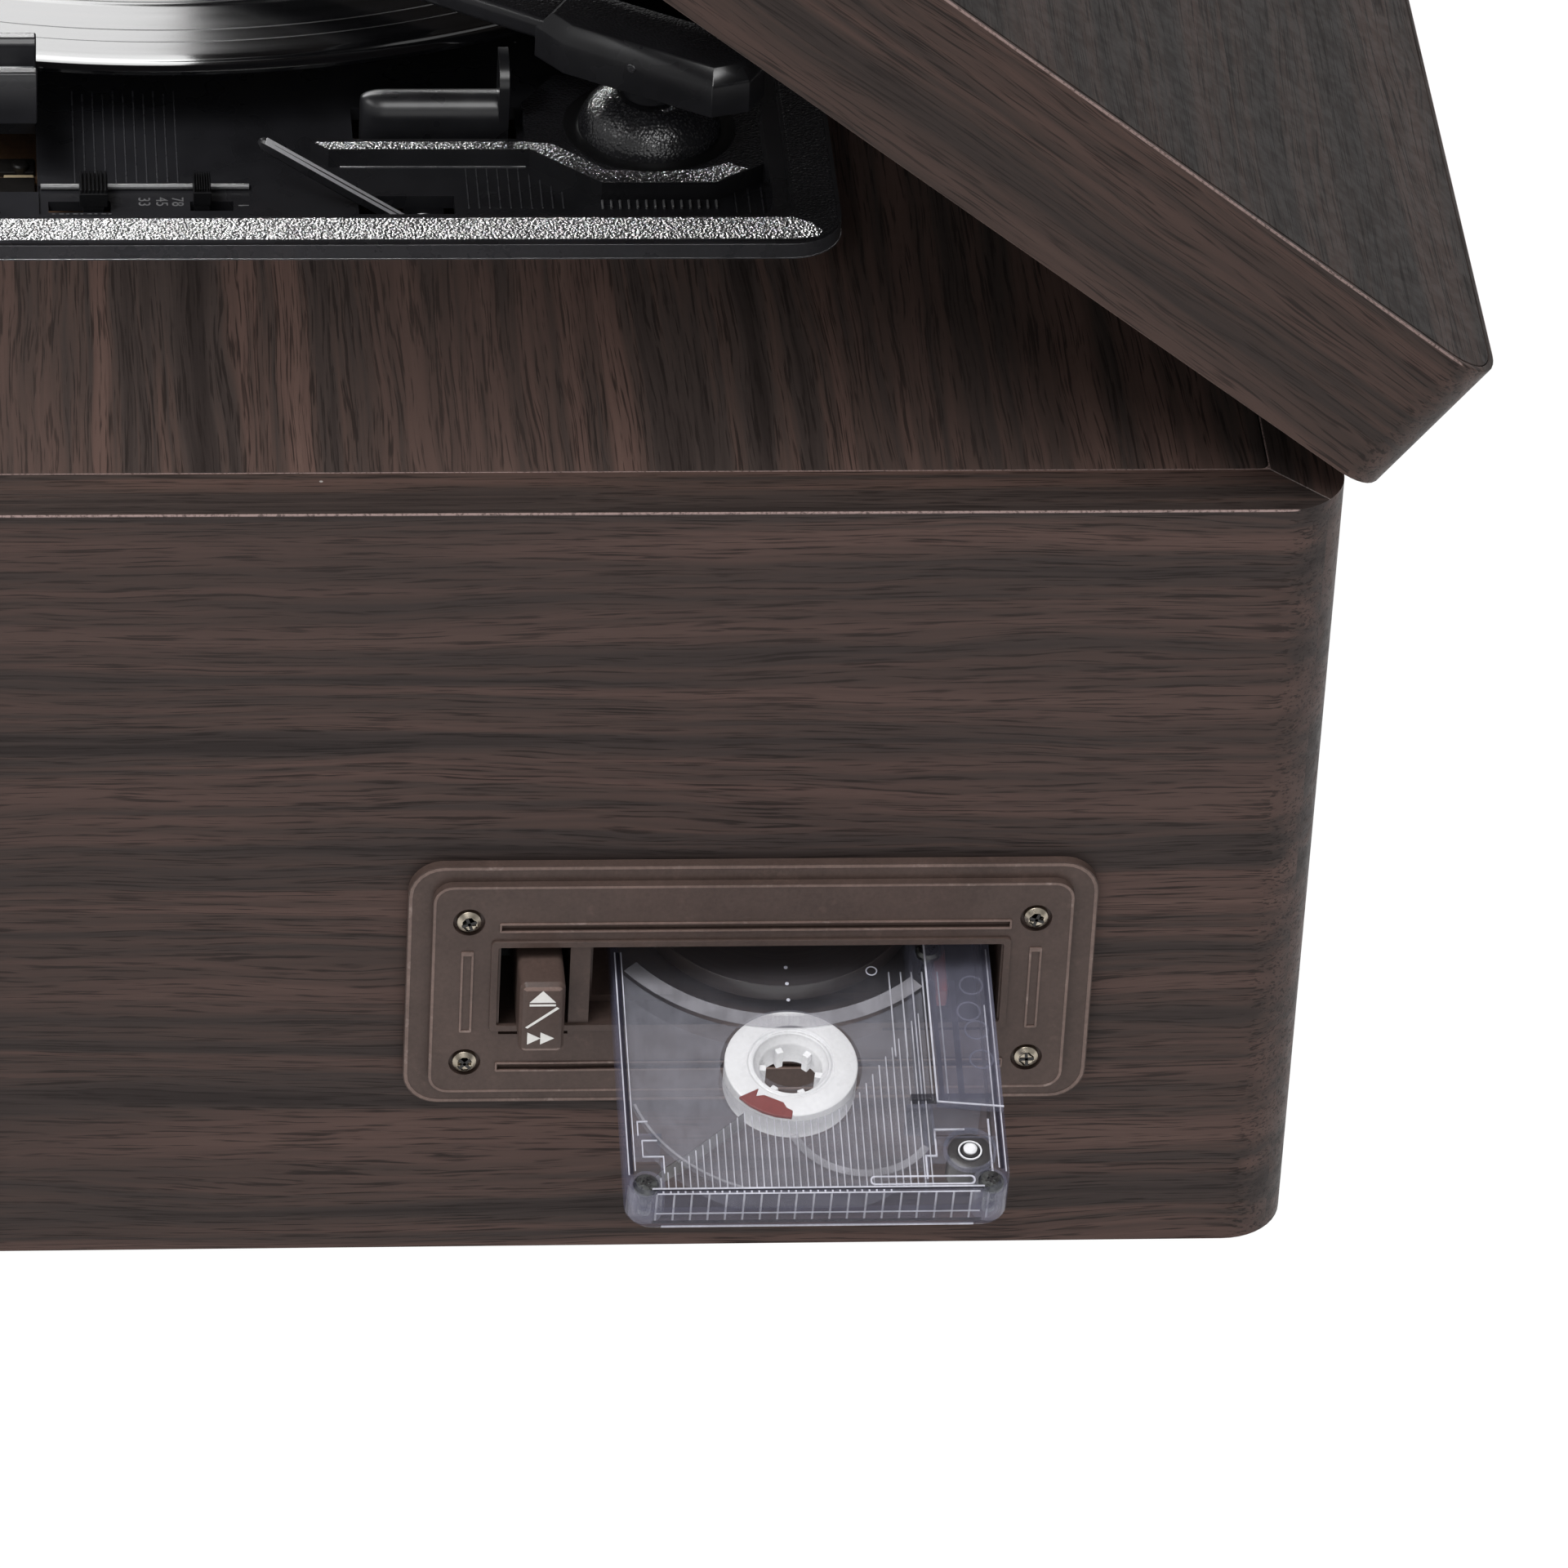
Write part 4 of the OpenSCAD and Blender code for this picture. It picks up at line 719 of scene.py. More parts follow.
# ---------------------------------------------------------------- CAD nodes
dress("cabinet", M["wood"], 0.0, merge=False)
dress("top_panel", M["panel"], 0.15)
dress("lid_frame", M["lid"], 0.3)
dress("lid_top", M["lid_top"], 0.25)
dress("bottom_board", M["board"], 0.3)
dress("battens", M["batten"], 0.4)
dress("feet", M["rubber"], 0.5)
dress("baffle", M["back"], 0.3)
dress("grille_left", M["cloth"], 0.6)
dress("grille_right", M["cloth"], 0.6)
dress("speaker_baskets", M["basket"], 0.3)
dress("speaker_cones", M["cone"], 0.0)
dress("fascia", M["fascia"], 0.4)
dress("dial_plate", M["cream"], 0.2)
dress("dial_lens", M["lens"], 0.3)
dress("dial_pointer", M["pointer"], 0.15)
dress("power_button", M["knob"], 0.6)
dress("main_board", M["pcb"], 0.2)
dress("power_transformer", M["iron"], 0.3)
dress("rear_panel", M["back"], 0.3)
dress("rear_screws", M["screw"], 0.12)
dress("audio_jacks", M["steel"], 0.15)
dress("power_inlet", M["rubber"], 0.2)
dress("lid_bumpers", M["rubber"], 0.1)
dress("cabinet_hinge_leaves", M["hinge"], 0.12)
dress("lid_hinge_leaves", M["hinge"], 0.12)
dress("hinge_pins", M["hinge"], 0.15)
dress("hinge_screws", M["brass"], 0.1)
dress("lid_hinge_screws", M["brass"], 0.1)
dress("deck_plate", M["deck"], 0.0, merge=False)
dress("switch_board", M["pcb"], 0.15)
dress("platter", M["platter"], 0.3)
dress("platter_mat", M["mat"], 0.3)
dress("spindle", M["steel"], 0.2)
dress("platter_motor", M["motor"], 0.5)
dress("motor_pulley", M["brass"], 0.15)
dress("drive_belt", M["rubber"], 0.0)
dress("arm_yoke", M["smooth"], 0.3)
dress("arm_pivot_pin", M["steel"], 0.12)
dress("cartridge", M["label"], 0.15)
dress("bezel_screws", M["screw"], 0.1)
dress("key_spring", M["steel"], 0.0)
dress("tape_chassis", M["chassis"], 0.2)
dress("capstan_flywheel", M["steel"], 0.2)
dress("tape_bezel", M["brown"], 0.0, merge=False)
dress("tape_pack", M["tape"], 0.15)

# ---------------------------------------------------------------- record
p = Part()
prof = [(3.61, 162.1), (50, 162.1), (50.6, 162.4), (147, 162.4), (148, 162.1), (150.2, 162.1), (150.8, 162.7), (150.8, 163.3), (150.2, 163.85),
        (149.4, 163.9), (148.4, 163.85), (147.4, 163.55), (146.8, 163.56), (146.2, 163.50)]
r = 145.4
gaps = (128.0, 109.0, 92.0, 74.0)
while r > 58:
    near = any(abs(r - q) < 0.9 for q in gaps)
    prof.append((r, 163.42 if near else 163.52))
    r -= 0.55
prof += [(57, 163.45), (51.2, 163.5), (50.2, 163.88), (16, 163.9), (15, 163.7), (13, 163.7), (12, 163.9), (3.61, 163.9)]
REC = Matrix.Translation((-34, -6.4, 0))
p.lathe(prof, 220, REC, closed=True)
rec = p.make("record_disc", [M["vinyl"], M["label"]], "turntable", ["record"], angle=40,
             pick=lambda c, n: 1 if (c.z > 163.6 and math.hypot(c.x + 34, c.y + 6.4) < 50.3) else 0)

# ---------------------------------------------------------------- tonearm
body = [(8.1, -13), (8.1, 15.5), (3, 20.2), (-3, 20.2), (-8.1, 15.5), (-8.1, -13), (-5.4, -20), (5.4, -20)]
p = Part()
inner = inset(body, 1.4)
p.loft([[(x, y, 172.4) for x, y in inner], [(x, y, 165.5) for x, y in inner], [(x, y, 165.5) for x, y in body],
        [(x, y, 171.3) for x, y in body], [(x, y, 171.7) for x, y in inset(body, 0.25)],
        [(x, y, 173.9) for x, y in inset(body, 2.3)], [(x, y, 174.1) for x, y in inset(body, 2.6)]], ARM)


def tube_ring(y, w, z0, z1, r, n=4):
    return [(a, y, b) for a, b in rrect(2 * w, z1 - z0, r, n, 0.0, (z0 + z1) / 2)]


rings = [tube_ring(y, w, 168.5, 172.9, 1.5) for y, w in ((-18.6, 5.4), (-40, 4.75), (-60, 4.2), (-115, 4.0), (-172, 3.8))]
p.loft(rings, ARM)
head = [(3.8, -168), (-3.8, -168), (-8, -178), (-8, -206), (-5, -211), (5, -211), (8, -206), (8, -178)]
hin = inset(head, 1.3)
p.loft([[(x, y, 171.5) for x, y in hin], [(x, y, 166.5) for x, y in hin], [(x, y, 166.5) for x, y in head],
        [(x, y, 171.9) for x, y in head], [(x, y, 172.9) for x, y in inset(head, 1.0)]], ARM)
# curled finger lift
fl = []
for i in range(7):
    t = i / 6
    xx = 7 + 6 * t
    zz = 166.6 + 0.9 * math.sin(t * 1.5)
    fl.append([(xx, -203 + t, zz), (xx, -198 - t, zz), (xx, -198 - t, zz + 0.9), (xx, -203 + t, zz + 0.9)])
p.loft(fl, ARM)
ARMI = ARM.inverted()


def arm_pick(c, n):
    q = ARMI @ c
    if n.z > 0.9 and (q.z > 173.95 or (q.y < -20.5 and q.z > 172.6)):
        return 1
    return 0


p.make("arm_body", [M["smooth"], M["grain_soft"]], "arm", ["tonearm"], bevel=0.2, pick=arm_pick)

# dome over the arm's base, on the island
p = Part()
p.lathe([(12.39, 154.4), (12.39, 155.3), (12.2, 156.2), (11.3, 158.0), (9.9, 159.35), (8.2, 160.35), (6.4, 160.95), (5.4, 161.1), (4.95, 160.9), (4.95, 154.4)],
        96, Matrix.Translation((120.6, 77.7, 0)), closed=True)
p.make("arm_dome", M["grain"], "cabinet_body", angle=60)
p = Part()
p.lathe([(12.45, 154.5), (14.9, 154.5), (14.95, 154.8), (14.7, 154.88), (12.6, 154.95), (12.4, 154.9)], 96, Matrix.Translation((120.6, 77.7, 0)), closed=True)
p.make("dome_collar", M["slide"], "cabinet_body", angle=60)
# grained skins of the rim and the island, and the rim's light foot line
p = Part()
p.frame(rrect(335.2, 262.0, 8.3, 8, 0, -24.2), rrect(321.6, 248.4, 3.4, 8, 0, -24.2), 161.5, 161.63)
p.make("grain_skin_rim", M["grain_soft"], "cabinet_body", bevel=0.05)
p = Part()
p.plate([(160.85, -146.0), (167.56, -146.0), (167.56, 99.5), (166.9, 103.2), (165.2, 104.0), (162.6, 102.4), (160.85, 99.4)], [], 161.5, 161.67)
isle = [(139, 68.4), (139, 88.2), (134.6, 94.2), (132.4, 90.6), (134.6, 85.4), (134.6, 69.6), (126.2, 60.6), (125.5, 56), (125.5, 19), (128.3, 22), (128.3, 56.6)]
p.plate(inset(isle, 0.22), [], 154.6, 154.76)
p.make("grain_skin", M["grain"], "cabinet_body", bevel=0.05)
p = Part()
p.frame(rrect(337.1, 263.9, 9.15, 8, 0, -24.2), rrect(336.6, 263.4, 8.9, 8, 0, -24.2), 158.21, 158.42)
p.box((128.3, 24.0, 151.15), (128.62, 56.0, 151.4))
p.make("rim_foot", M["edge"], "cabinet_body")
# the rim's outer wall in the lighter grey: painted light
p = Part()
p.frame(rrect(336.94, 263.74, 9.05, 8, 0, -24.2), rrect(336.2, 263.0, 8.7, 8, 0, -24.2), 158.4, 161.1)
p.make("rim_skirt", M["skirt"], "cabinet_body", bevel=0.08)

# ---------------------------------------------------------------- lift bar, cue lever
p = Part()
rings = []
prof_n = 14
for i in range(9):
    t = i / 8
    a = math.pi / 2 * t
    y = 28.0 + 4.2 * (1 - math.cos(a))
    s = 0.35 + 0.65 * math.sin(a)
    ring = [(114.1 - 3.9 * s, y, 146.0), (114.1 - 3.9 * s, y, 153.4)]
    for j in range(prof_n + 1):
        b = math.pi - math.pi * j / prof_n
        ring.append((114.1 + 3.9 * s * math.cos(b), y, 153.4 + 4.2 * (0.55 + 0.45 * s) * math.sin(b)))
    ring += [(114.1 + 3.9 * s, y, 153.4), (114.1 + 3.9 * s, y, 146.0)]
    rings.append(ring)
rings.append([(x, 51.95, z) for x, y, z in rings[-1]])
p.loft(rings)
plate = [(110.2, 146.0), (118.0, 146.0), (118.0, 159.4)]
for i in range(9):
    a = math.radians(i * 10)
    plate.append((118.0 - 6.2 * (1 - math.cos(a)), 159.4 + 4.9 * math.sin(a)))
plate += [(110.2, 164.3)]
p.loft([[(x, 51.8, z) for x, z in plate], [(x, 53.6, z) for x, z in plate]])
p.make("lift_bar", M["smooth"], "lift_bar", ["cue_lift_bar"], bevel=0.2, angle=45)

p = Part()
sec = [(-1.2, -0.7), (-0.75, -1.1), (0.75, -1.1), (1.2, -0.7), (1.2, 0.5), (0.6, 1.05), (-0.6, 1.05), (-1.2, 0.5)]
rings = []
for y, s in ((2.0, 1.0), (-4, 1.0), (-20, 1.0), (-31.5, 0.97), (-33.4, 0.8), (-34.0, 0.45)):
    rings.append([(x * s, y, z * s) for x, z in sec])
p.loft(rings, LEVER)
ax = LEVER @ Matrix.Rotation(math.radians(90), 4, "Y")
p.lathe([(0, -1.4), (3.0, -1.4), (3.2, -1.2), (3.2, 1.2), (3.0, 1.4), (0, 1.4)], 32, ax)
p.lathe([(0, -4.9), (1.5, -4.9), (1.5, 4.2), (0, 4.2)], 24, ax)
p.make("cue_handle", [M["smooth"]], "cue_lever_body", ["cue_lever"], angle=35)
# chrome edge of the cue lever in near-white: painted highlight
p = Part()
p.loft([[(x, y, z) for x, z in ((-0.35, 0.98), (0.95, 0.4), (1.3, 0.62), (0.0, 1.32))] for y in (1.5, -33.2)], LEVER)
p.make("cue_chrome", M["line"], "cue_lever_body", bevel=0.05)

# ---------------------------------------------------------------- switch strip and its marks
p = Part()
p.tube([(134.35, y, 151.15) for y in (-27.4, -12, 8.2)], 0.5, 12)
p.tube([(133.6, y, 151.05) for y in (-27.4, -12, 8.2)], 0.22, 8)
p.make("strip_bead", M["mark"], "cabinet_body", angle=60)


def slider(name, x0, x1, y0, y1, body, node, stem):
    q = Part()
    zt = 154.8
    q.prism([(x0, y0), (x1, y0), (x1, y1), (x0, y1)], 151.5, zt - 0.7)
    q.box((stem[0], stem[1], 142.6), (stem[2], stem[3], 151.6))
    n = 7
    for i in range(n):
        a = y0 + (y1 - y0) * (i + 0.15) / n
        b = y0 + (y1 - y0) * (i + 0.7) / n
        q.box((x0 + 0.3, a, zt - 0.8), (x1 - 0.3, b, zt))
    q.make(name, M["slide"], body, [node], bevel=0.12)


slider("speed_knob", 134.6, 141.4, -20.9, -16.1, "speed_slider", "speed_switch", (138.5, -20.3, 141.3, -16.7))
slider("autostop_knob", 134.8, 141.0, -1.5, 1.5, "autostop_slider", "autostop_switch", (138.5, -1.3, 140.9, 1.3))

# floor ribs in the lighter grey copy of the deck black: painted light on the ribs
p = Part()
for i in range(11):
    y = -21.5 + 1.76 * i
    p.box((104.5 if i % 2 else 103.6, y - 0.13, 151.1), (133.2, y + 0.13, 151.34))
for i in range(10):
    y = 45.6 + 1.8 * i
    x0 = 128.8 + (0.0 if i < 6 else (i - 5) * 1.9)
    p.box((x0, y - 0.13, 151.1), (141.6, y + 0.13, 151.34))
for i in range(6):
    y = 91.5 + 2.3 * i
    p.box((135.0, y - 0.13, 151.1), (143.0, y + 0.13, 151.34))
p.make("deck_ribs", M["skirt"], "cabinet_body", bevel=0.08)
p = Part()
for i in range(14):
    y = 68.5 + 19.6 * i / 13
    p.box((139.6, y - 0.2, 151.1), (141.9, y + 0.2, 151.75))
p.make("island_teeth", M["mark"], "cabinet_body", bevel=0.12)
DOWN = Matrix(((1, 0, 0, 0), (0, 1, 0, 0), (0, 0, 1, 0), (0, 0, 0, 1)))
for i, (s, y) in enumerate((("33", -9.9), ("45", -6.9), ("78", -4.2))):
    text("speed_mark_%d" % i, s, 2.9, Matrix.Translation((138.4, y, 150.66)) @ DOWN, M["mark"])
text("stop_mark_0", "1", 2.6, Matrix.Translation((139.6, 7.0, 150.66)) @ DOWN, M["mark"])
p = Part()
for i in range(9):
    y = -25.6 + i * 1.2
    p.box((142.1, y, 150.55), (142.7, y + 0.5 + 0.3 * (i % 2), 150.68))
p.make("strip_ticks", M["mark"], "cabinet_body")

# ---------------------------------------------------------------- arm rest
p = Part()
p.prism(rrect(17, 14, 1.5, 4, 104.5, -35), 151.2, 153.0)
p.box((108.8, -40, 152.9), (113, -28, 160.6))
p.box((112.9, -40, 155.6), (116.3, -28, 160.6))
side_prof = [(116.2, 155.6), (119.8, 155.6), (119.8, 170.6), (118.9, 171.5), (117.1, 171.5), (116.2, 170.6)]
p.loft([[(x, y, z) for x, z in side_prof] for y in (-40, -28)])
p.box((119.7, -35, 162.6), (129.3, -28, 165.0))
prong = [(129.2, 162.6), (132.6, 162.6), (132.6, 170.9), (131.7, 172.3), (130.1, 172.5), (129.2, 171.6)]
p.loft([[(x, y, z) for x, z in prong] for y in (-35, -28)])
p.make("rest_bracket", M["smooth"], "cabinet_body", ["arm_rest"], bevel=0.35)
p = Part()
roll = Matrix.Translation((0, -34.8, 0)) @ Matrix.Rotation(math.radians(-90), 4, "X")
p.lathe([(0, 0), (2.6, 0), (2.9, 0.4), (2.9, 6.2), (2.6, 6.6), (0, 6.6)], 28, Matrix.Translation((123.4, -34.8, 165.2)) @ Matrix.Rotation(math.radians(-90), 4, "X"))
p.make("rest_roller", M["silver"], "cabinet_body", angle=40)
# parts on the board below the opening
p = Part()
p.box((115.9, -33.4, 141.0), (117.3, -28.2, 142.0))
p.box((115.9, -46.0, 141.0), (117.0, -37.0, 142.0))
p.make("board_tab", M["cream"], "cabinet_body", bevel=0.2)
p = Part()
p.box((111.0, -50.0, 141.0), (115.5, -28.1, 142.2))
p.lathe([(0, 0), (1.5, 0), (1.5, 1.6), (1.1, 2.0), (0, 2.0)], 24, Matrix.Translation((114.2, -30.6, 141.4)))
p.box((117.7, -50.0, 141.0), (136.0, -28.1, 142.6))
p.make("board_parts", M["part"], "cabinet_body", bevel=0.15)

# ---------------------------------------------------------------- cassette bezel trim
YC, ZC = 89.9, 63.95
# pale outlines round the bezel's edges: wear and painted edge highlight
p = Part()
o = rrect(115.5, 48.8, 5.9, 6, YC, ZC)
p.frame(o, inset(o, 0.55), 246.72, 246.86, SX)
o = rrect(107.4, 42.8, 3.3, 6, YC, ZC)
p.frame(o, inset(o, 0.45), 248.1, 248.26, SX)
p.make("bezel_edge_wear_and_highlight", M["brown_worn"], "cabinet_body")
p = Part()
# thin frame set into the face round key and mouth, and the bar between them
yc, zc = (46.1 + 133.4) / 2, 64.95
o = rrect(133.4 - 46.1, 18.6, 0.7, 3, yc, zc)
i_ = rrect(133.4 - 46.1 - 2.4, 16.2, 0.4, 3, yc, zc)
p.frame(o, i_, 247.9, 248.75, SX)
p.make("mouth_frame", M["brown"], "cabinet_body", bevel=0.12)
# raised bars and ribs in the paler brown: wear and painted edge highlight
p = Part()
for z in (76.9, 47.9):
    o = rrect(86.0, 1.9, 0.3, 3, 90.35, z)
    p.frame(o, inset(o, 0.34), 248.1, 248.42, SX)
for y in (42.1, 137.7):
    o = rrect(2.1, 16.7, 0.3, 3, y, 63.6)
    p.frame(o, inset(o, 0.36), 248.1, 248.4, SX)
    p.prism(rrect(2.1, 0.8, 0.2, 3, y, 71.6), 248.1, 248.42, SX)
p.make("bezel_lines", M["brown_worn"], "cabinet_body", bevel=0.06)

# crosses in the screw heads, in dark plastic: painted shade of the cross slots
p = Part()
for i, (y, z) in enumerate(((42.2, 78.05), (42.2, 48.9), (137.4, 78.05), (137.4, 48.9))):
    for a in (20 + 25 * i, 110 + 25 * i):
        p.box((-1.3, -0.26, 248.2), (1.3, 0.26, 248.86), SX @ Matrix.Translation((y, z, 0)) @ Matrix.Rotation(math.radians(a), 4, "Z"))
p.make("screw_slot_shades", M["part"], "cabinet_body")

# wind and eject key
p = Part()
key = rrect(7.6, 14.2, 1.2, 5, 54.4, 63.7)
p.loft([[(x, y, 225.0) for x, y in key], [(x, y, 255.2) for x, y in key], [(x, y, 256.0) for x, y in inset(key, 0.5)], [(x, y, 256.3) for x, y in inset(key, 1.1)]], SX)
stem = Matrix.Translation((203, 54.4, 63.7)) @ Matrix.Rotation(math.radians(90), 4, "Y")
p.lathe([(0, 0), (2.2, 0), (2.4, 0.3), (2.4, 22.2), (0, 22.2)], 32, stem)


# painted highlight: faces of the key's front bevel that slope up or down take the paler brown
def key_pick(c, n):
    return 1 if c.x > 255.9 and c.x < 256.28 and abs(n.z) > 0.2 else 0


p.make("wind_key", [M["brown"], M["brown_worn"]], "key", ["eject_key"], angle=30, pick=key_pick)
p = Part()
k0, k1 = 256.28, 256.36


def sym(pts):
    c = sum(a * d - b * c_ for (a, b), (c_, d) in zip(pts, pts[1:] + pts[:1]))
    p.prism(pts if c > 0 else pts[::-1], k0, k1, SX)


sym([(52.2, 67.3), (56.6, 67.3), (54.4, 69.7)])
sym([(52.2, 66.55), (56.6, 66.55), (56.6, 66.95), (52.2, 66.95)])
sym([(51.6, 62.15), (52.0, 61.95), (57.2, 66.05), (56.8, 66.35)])
sym([(52.0, 58.6), (52.0, 61.1), (54.2, 59.85)])
sym([(54.2, 58.6), (54.2, 61.1), (56.5, 59.85)])
p.make("key_symbols", M["white"], "key")

# ---------------------------------------------------------------- cassette
HUBS = (-28.95, -71.45)


def hub_holes(r):
    return [circle(r, 40, u, 29.0) for u in HUBS]


p = Part()
wallo = rrect(100.4, 63.8, 4.6, 8, -50.2, 31.9)
walli = inset(wallo, 1.2)
# rounded side wall, two halves with a seam between them
for a, b in ((-4.35, -0.1), (0.1, 4.35)):
    lo, hi = (0.5, 0.0) if a < 0 else (0.0, 0.5)
    p.loft([[(x, y, a + lo) for x, y in wallo], [(x, y, b - hi) for x, y in wallo],
            [(x, y, b) for x, y in (inset(wallo, 0.35) if hi else walli)], [(x, y, b) for x, y in walli],
            [(x, y, a) for x, y in walli], [(x, y, a) for x, y in (inset(wallo, 0.35) if lo else walli)]], CAS, closed=True)
p.make("shell_walls", M["wall"], "cassette", ["cassette_shell"], angle=30)
p = Part()
face = inset(wallo, 1.25)
p.plate(face, hub_holes(6.0), 3.55, 4.3, CAS)
p.plate(face, hub_holes(6.0), -4.3, -3.55, CAS)
# raised collars round the hub holes
for u in HUBS:
    p.frame(circle(7.0, 40, u, 29), circle(6.2, 40, u, 29), 4.32, 4.4, CAS)
p.make("shell_faces", M["shell"], "cassette", angle=30)

p = Part()
hd = [(-83.4, 63.6), (-80.9, 52.6), (-18.2, 52.6), (-17.0, 63.6)]
for a, b in ((4.32, 5.9), (-5.9, -4.32)):
    p.prism(hd[::-1], a, b, CAS)
for u, v in ((-27.1, 61.0), (-33.4, 60.2), (-37.4, 59.2), (-43.0, 60.0)):
    p.frame(circle(2.1, 24, u, min(v, 60.6)), circle(1.75, 24, u, min(v, 60.6)), 5.92, 6.0, CAS)
p.make("shell_head", M["frost"], "cassette", bevel=0.3)
# painted glints: bright edges of the thicker part over the head
p = Part()
p.prism([(-81.0, 52.45), (-18.3, 52.45), (-18.3, 52.75), (-81.0, 52.75)], 5.84, 6.0, CAS)
p.prism([(-18.4, 52.5), (-18.1, 52.5), (-16.95, 63.6), (-17.25, 63.6)], 5.84, 6.0, CAS)


def outline(q, pts, w, z0, z1):
    q.frame(pts, inset(pts, w), z0, z1, CAS)


# painted glints on the outer end: two bright lines with a seam, the slot beside the corner, small glints
p.box((-1.75, 4.2, 4.3), (-1.45, 59.4, 4.44), CAS)
p.box((-0.62, 5.0, 4.3), (-0.4, 58.6, 4.42), CAS)
p.box((-0.1, 5.0, -0.42), (0.0, 58.8, -0.16), CAS)
p.box((-0.3, 6.0, -4.1), (-0.1, 58.0, -3.8), CAS)
outline(p, rrect(1.9, 17.5, 0.8, 4, -2.9, 49.2), 0.28, 4.31, 4.45)
for k in range(44):
    v = 6.0 + k * 1.22
    if v < 44:
        p.box((-1.05, v - 0.14, 4.3), (-0.7, v + 0.14, 4.42), CAS)
# side walls, top edges, as painted glints
p.box((-52.0, 0.42, 4.3), (-4.6, 0.62, 4.42), CAS)
p.box((-52.0, 1.5, 4.3), (-5.4, 1.66, 4.4), CAS)
p.box((-52.0, 63.1, 4.3), (-4.6, 63.3, 4.42), CAS)
p.box((-40.0, 62.0, 4.3), (-5.4, 62.2, 4.4), CAS)
# small moulded steps inside, on the label side, drawn as painted glints
for a in ((-12.6, 3.0, -9.0, 3.2), (-12.6, 3.0, -12.4, 5.6), (-9.2, 3.0, -9.0, 6.6), (-9.0, 6.4, -5.6, 6.6), (-16.6, 2.4, -13.6, 2.6), (-16.6, 2.4, -16.4, 4.2)):
    p.box((a[0], a[1], 3.3), (a[2], a[3], 3.52), CAS)
# tape path walls beside the roller, drawn as painted glints
for a in ((-14.4, 51.8, -14.1, 57.0), (-14.4, 51.8, -8.6, 52.1), (-8.9, 50.0, -8.6, 52.0), (-8.8, 50.0, -4.0, 50.3), (-16.4, 60.9, -5.2, 61.2)):
    p.box((a[0], a[1], 3.25), (a[2], a[3], 3.5), CAS)
p.make("painted_edge_glints", M["glint"], "cassette")

# dark outlines where the clear walls bend the light
p = Part()
p.box((-1.42, 4.4, 4.3), (-1.1, 59.2, 4.38), CAS)
p.box((-0.1, 4.4, -2.9), (0.0, 59.2, -2.2), CAS)
p.box((-52.0, 0.72, 4.3), (-4.8, 1.3, 4.36), CAS)
p.box((-52.0, 62.35, 4.3), (-5.2, 62.9, 4.36), CAS)
p.box((-46.0, 53.4, 3.2), (-19.0, 54.2, 3.5), CAS)
p.box((-46.0, 56.6, 3.2), (-19.0, 57.6, 3.5), CAS)
p.make("edge_shades", M["smoke"], "cassette")

# slip sheets: milky between the two windows, clear over the tape and in the corners
edge_pts = []
for i in range(33):
    a = math.radians(-73.2 + (54.1 + 73.2) * i / 32)
    edge_pts.append((min(-2.6, -28.95 + 28.4 * math.cos(a)), 29.0 + 28.4 * math.sin(a)))
for i in range(25):
    a = math.radians(40.6 - (40.6 + 50.4) * i / 24)
    edge_pts.append((-71.45 + 35.3 * math.cos(a), 29.0 + 35.3 * math.sin(a)))
p = Part()
for z0 in (2.3, -2.42):
    p.plate(edge_pts, [circle(11.9, 56, -28.95, 29.0)], z0, z0 + 0.12, CAS)
p.make("liners", M["liner"], "cassette")
# moulded ribs of the window, along the length, drawn pale and half opaque: painted highlight
p = Part()
v = 4.6
while v < 51:
    if v < 20.5:
        u0 = -3.4 - (v - 4.6) * 0.94
    elif v < 38.5:
        u0 = -28.95 + math.sqrt(max(0.0, 12.6 ** 2 - (v - 29.0) ** 2))
        if v < 28.5:
            u0 = max(u0, -17.4)
    else:
        u0 = -20.0 - (v - 38.5) * 1.55
    p.box((max(u0, -39.0), v - 0.1, 3.2), (-2.5, v + 0.1, 3.52), CAS)
    v += 1.22
p.make("window_ribs", M["rib"], "cassette")
# ribs between the head and the window, also drawn pale: painted highlight
p = Part()
for v in (46.6, 48.6, 50.4, 52.2, 54.8):
    p.box((-48.0, v - 0.12, 3.15), (-20.5 if v > 50 else -30.0, v + 0.12, 3.5), CAS)
for k in range(20):
    v = 5.0 + k * 2.9
    p.box((-1.18, v - 0.16, -3.4), (-1.0, v + 0.16, 3.4), CAS)
p.make("head_ribs", M["rib"], "cassette")
# pale rings of the window
p = Part()


def arc(q, cu, cv, r0, r1, a0, a1, z0, z1, n=40):
    rings = []
    for i in range(n + 1):
        a = math.radians(a0 + (a1 - a0) * i / n)
        c, s = math.cos(a), math.sin(a)
        rings.append([(cu + r0 * c, cv + r0 * s, z0), (cu + r1 * c, cv + r1 * s, z0), (cu + r1 * c, cv + r1 * s, z1), (cu + r0 * c, cv + r0 * s, z1)])
    q.loft(rings, CAS)


arc(p, -71.45, 29.0, 32.4, 35.2, -50, 41, 3.34, 3.48)
arc(p, -17.65, 40.1, 11.7, 13.1, -70, 56, 3.34, 3.48)
arc(p, -28.95, 29.0, 27.9, 28.3, -72, -20, 3.34, 3.48)
p.make("window_arcs", M["arc"], "cassette")
# print-like ring marks on the pack's window
p = Part()
for u in (-41.5, -45.0, -48.5):
    p.prism(circle(0.32, 16, u, 29.2), 4.31, 4.36, CAS)
p.frame(circle(1.0, 20, -47.6, 43.6), circle(0.78, 20, -47.6, 43.6), 4.31, 4.36, CAS)
p.make("window_dots", M["glint"], "cassette")

